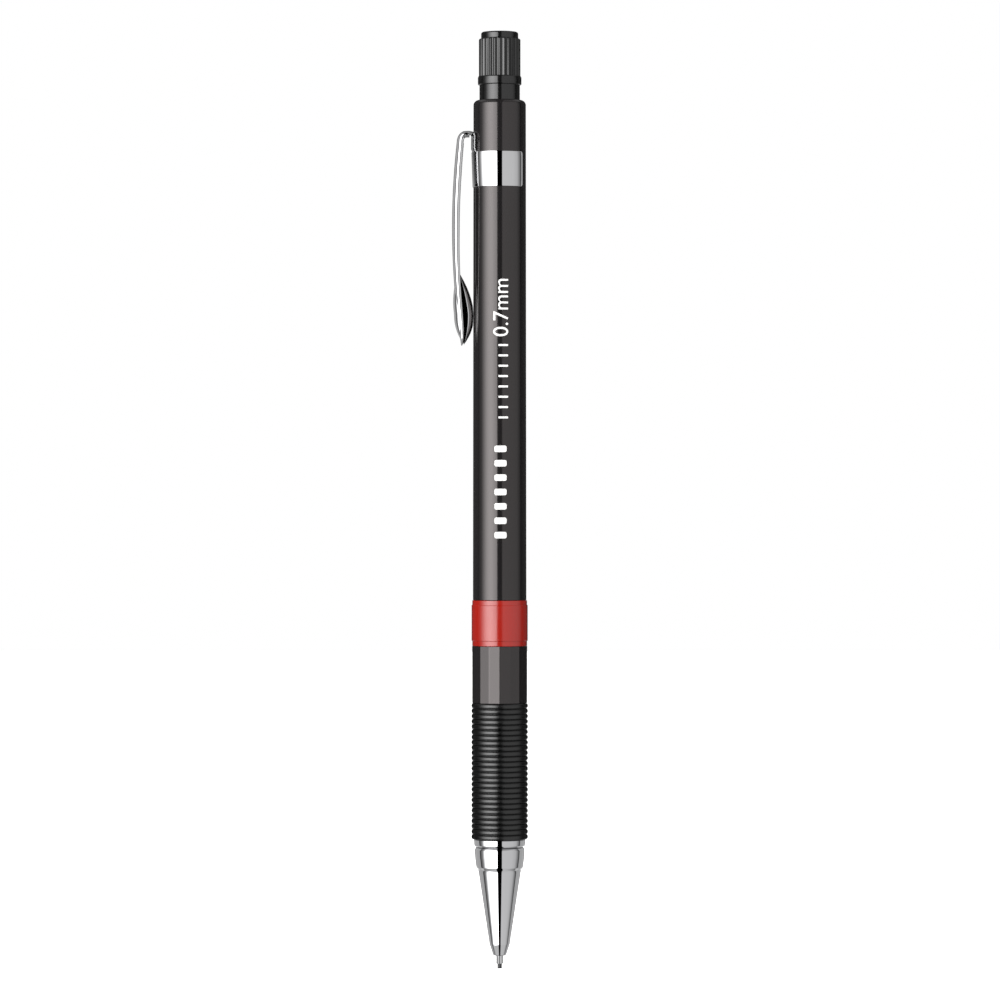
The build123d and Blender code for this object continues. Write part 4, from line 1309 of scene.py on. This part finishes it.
@dataclass
class Studio:
    """Pale floor, soft light from tall panels round the pencil and the camera."""

    distance: float = 760.0
    eye_height: float = 71.04
    # The camera stands this far to the right of the pencil's axis.
    aside: float = 0.05
    lens: float = 180.4
    sensor: float = 36.0
    strength: float = 8.0
    # Soft light that plain surfaces gather from behind and from the camera's side.
    dome: Station = (0.60, 1.20)
    # Level over the top of the panels and under them, and where each starts as a share of straight up or down.
    above: float = 0.5
    below: Station = (0.95, 0.30)
    above_from: Station = (0.50, 0.65)
    below_from: Station = (-0.48, -0.58)
    # Half width, as a share of the way towards the camera, over which the light from below turns.
    below_turn: float = 0.3
    # Half width of the dark slot between the two panels on the camera's side, and where that side ends.
    slot: Station = (0.165, 0.205)
    far_from: Station = (0.0, 0.02)
    # The low panels behind the pencil: their level, and how far up and how far round they reach.
    rear_level: float = 1.2
    rear_from: Station = (-0.18, -0.26)
    rear_half: Station = (32.0, 18.0)
    floor_size: float = 4000.0
    floor_lamp: float = 3.7
    floor_lamp_spread: float = 40.0
    # The floor lies this far below the tip, so that the nose stays above it when it is screwed out.
    floor_drop: float = 12.5
    # The two lamps that only the chromed pieces mirror.
    flag_bearing: float = 132.0
    flag_distance: float = 1500.0
    flag_size: Station = (1500.0, 3000.0)
    flag_power: float = 8.6

    # Levels round the studio at the pencil's height.
    panels: tuple[Panel, ...] = (
        Panel(-180, 0.15), Panel(-174, 0.15), Panel(-168, 0.02), Panel(-155, 0.03), Panel(-145, 0.09),
        Panel(-110, 0.09), Panel(-107, 0.02), Panel(-103, 0.02), Panel(-98, 0.20), Panel(-87, 0.45),
        Panel(-82, 1.0), Panel(-77, 1.9), Panel(-71, 3.0), Panel(-61, 5.3), Panel(-51, 7.0), Panel(-42, 7.6),
        Panel(-33, 7.4), Panel(-20, 5.8), Panel(0, 4.0), Panel(1, 1.05), Panel(60, 1.0), Panel(80, 0.85),
        Panel(92, 0.45), Panel(98, 0.30), Panel(103, 0.02), Panel(107, 0.02), Panel(110, 0.09), Panel(145, 0.09),
        Panel(155, 0.03), Panel(168, 0.02), Panel(174, 0.15), Panel(180, 0.15))

    def build(self) -> None:
        """Sets up the floor, the light and the camera."""
        bpy.context.scene.view_settings.view_transform = "Standard"
        self.camera()
        self.floor()
        self.light()

    def camera(self) -> None:
        """The camera, level with the middle of the pencil and square to it."""
        bpy.ops.object.camera_add(location=(self.aside * MM, -self.distance * MM, self.eye_height * MM),
                                  rotation=(math.pi / 2, 0, 0))
        camera = bpy.context.object
        camera.data.lens = self.lens
        camera.data.sensor_width = self.sensor
        camera.data.clip_start = 0.01
        camera.data.clip_end = 20
        bpy.context.scene.camera = camera

    def floor(self) -> None:
        """The pale floor under the pencil, lit by a lamp of its own."""
        bpy.ops.object.select_all(action="DESELECT")
        bpy.ops.mesh.primitive_plane_add(size=self.floor_size * MM, location=(0, 0, -self.floor_drop * MM))
        floor = settle("studio_floor")
        white = bpy.data.materials.new("matt_white_floor")
        white.use_nodes = True
        shader = white.node_tree.nodes["Principled BSDF"]
        shader.inputs["Base Color"].default_value = linear("#F2F2F2")
        shader.inputs["Roughness"].default_value = 0.9
        shader.inputs["Specular IOR Level"].default_value = 0.0
        floor.data.materials.append(white)
        floor.visible_glossy = False
        floor.visible_diffuse = False
        bpy.ops.object.light_add(type="SUN", location=(0, 0, 1))
        lamp = bpy.context.object
        lamp.name = "floor_lamp"
        lamp.data.energy = self.floor_lamp
        lamp.data.angle = math.radians(self.floor_lamp_spread)
        group = bpy.data.collections.new("floor_only")
        group.objects.link(floor)
        lamp.light_linking.receiver_collection = group

    def light(self) -> None:
        """The ring of tall panels, as a world whose brightness follows the bearing."""
        world = bpy.data.worlds.new("panel_studio")
        bpy.context.scene.world = world
        world.use_nodes = True
        tree = world.node_tree
        tree.nodes.clear()
        way = add_node(tree, "ShaderNodeTexCoord").outputs["Generated"]
        parts = add_node(tree, "ShaderNodeSeparateXYZ", {0: way}).outputs
        nearer = add_node(tree, "ShaderNodeMath", {0: parts["Y"], 1: -1.0}, operation="MULTIPLY")
        bearing = add_node(tree, "ShaderNodeMath", {0: parts["X"], 1: nearer.outputs[0]}, operation="ARCTAN2")
        share = add_node(tree, "ShaderNodeMapRange", {
            "Value": bearing.outputs[0], "From Min": -math.pi, "From Max": math.pi})
        ramp = add_node(tree, "ShaderNodeValToRGB", {"Fac": share.outputs[0]})
        self.fill_ramp(ramp.color_ramp)
        rear = self.between(tree, parts["Z"], *self.rear_from)
        turned = add_node(tree, "ShaderNodeMath", {0: bearing.outputs[0]}, operation="ABSOLUTE")
        behind = self.between(tree, turned.outputs[0], *(math.pi - math.radians(a) for a in self.rear_half))
        low_rear = add_node(tree, "ShaderNodeMath", {0: rear, 1: behind}, operation="MULTIPLY")
        colour = self.blend(tree, low_rear.outputs[0], ramp.outputs["Color"], self.rear_level)
        colour = self.blend(tree, self.between(tree, parts["Z"], *self.above_from), colour, self.above)
        under = add_node(tree, "ShaderNodeMapRange", {
            "Value": parts["Y"], "From Min": -self.below_turn, "From Max": self.below_turn,
            "To Min": self.below[0] / self.strength, "To Max": self.below[1] / self.strength})
        colour = add_node(tree, "ShaderNodeMix", {
            0: self.between(tree, parts["Z"], *self.below_from), 6: colour, 7: under.outputs[0]},
            data_type="RGBA").outputs[2]
        aside = add_node(tree, "ShaderNodeMath", {0: parts["X"]}, operation="ABSOLUTE")
        open_side = self.between(tree, aside.outputs[0], *self.slot)
        far_side = self.between(tree, parts["Y"], *self.far_from)
        shown = add_node(tree, "ShaderNodeMath", {0: open_side, 1: far_side}, operation="MAXIMUM")
        level = add_node(tree, "ShaderNodeMath", {0: shown.outputs[0], 1: self.strength}, operation="MULTIPLY")
        dome = add_node(tree, "ShaderNodeMapRange", {
            "Value": nearer.outputs[0], "From Min": -1.0, "To Min": self.dome[0], "To Max": self.dome[1]})
        ray = add_node(tree, "ShaderNodeLightPath").outputs
        panels = add_node(tree, "ShaderNodeBackground", {"Color": colour, "Strength": level.outputs[0]})
        soft = add_node(tree, "ShaderNodeBackground", {"Color": (1, 1, 1, 1), "Strength": dome.outputs[0]})
        glow = add_node(tree, "ShaderNodeMixShader", {
            0: ray["Is Diffuse Ray"], 1: panels.outputs[0], 2: soft.outputs[0]})
        white = add_node(tree, "ShaderNodeBackground", {"Color": (1, 1, 1, 1), "Strength": 1.0})
        seen = add_node(tree, "ShaderNodeMixShader", {
            0: ray["Is Camera Ray"], 1: glow.outputs[0], 2: white.outputs[0]})
        add_node(tree, "ShaderNodeOutputWorld", {"Surface": seen.outputs[0]})

    def between(self, tree: bpy.types.NodeTree, value: bpy.types.NodeSocket, low: float,
                high: float) -> bpy.types.NodeSocket:
        """Soft step of a value: 0 at low and 1 at high."""
        return add_node(tree, "ShaderNodeMapRange", {"Value": value, "From Min": low, "From Max": high},
                        interpolation_type="SMOOTHSTEP").outputs[0]

    def blend(self, tree: bpy.types.NodeTree, share: bpy.types.NodeSocket, colour: bpy.types.NodeSocket,
              level: float) -> bpy.types.NodeSocket:
        """Blends a colour towards an even level."""
        part = level / self.strength
        return add_node(tree, "ShaderNodeMix", {0: share, 6: colour, 7: (part, part, part, 1)},
                        data_type="RGBA").outputs[2]

    def fill_ramp(self, ramp: bpy.types.ColorRamp) -> None:
        """Writes the panels into a colour ramp that runs once round the studio and holds 32 stops at most."""
        while len(ramp.elements) > 1:
            ramp.elements.remove(ramp.elements[-1])
        for number, panel in enumerate(self.panels):
            position = (panel.bearing + 180) / 360
            stop = ramp.elements[0] if number == 0 else ramp.elements.new(position)
            stop.position = position
            part = panel.level / self.strength
            stop.color = (part, part, part, 1)

    def link_flags(self) -> None:
        """Adds two tall lamps beside and behind the pencil that only the chromed pieces mirror."""
        group = bpy.data.collections.new("chromed_pieces")
        for side in (-1, 1):
            bearing = math.radians(self.flag_bearing)
            place = Vector((side * math.sin(bearing), -math.cos(bearing), 0)) * self.flag_distance * MM
            bpy.ops.object.light_add(type="AREA", location=place + Vector((0, 0, self.eye_height * MM)))
            lamp = bpy.context.object
            lamp.name = f"chrome_flag_{'left' if side < 0 else 'right'}"
            lamp.rotation_euler = place.to_track_quat("Z", "Y").to_euler()
            lamp.data.shape = "RECTANGLE"
            lamp.data.size, lamp.data.size_y = self.flag_size[0] * MM, self.flag_size[1] * MM
            lamp.data.energy = self.flag_power
            lamp.light_linking.receiver_collection = group
        for piece in bpy.data.objects:
            if piece.type == "MESH" and any(m and m.name.startswith("chrome") for m in piece.data.materials):
                group.objects.link(piece)


def main() -> None:
    """Builds the studio and the pencil's sub-assemblies in order."""
    logging.basicConfig(level=logging.INFO, format="%(message)s", stream=sys.stdout)
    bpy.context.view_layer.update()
    finish = Finishes()
    studio = Studio()
    studio.build()
    for assembly in (WritingEnd(), GripSection(), BarrelTube(), PocketClip(), PushButton(), ClutchWorks()):
        LOG.info("-- %s", type(assembly).__name__)
        assembly.build(finish)
    studio.link_flags()


if __name__ == "__main__":
    main()
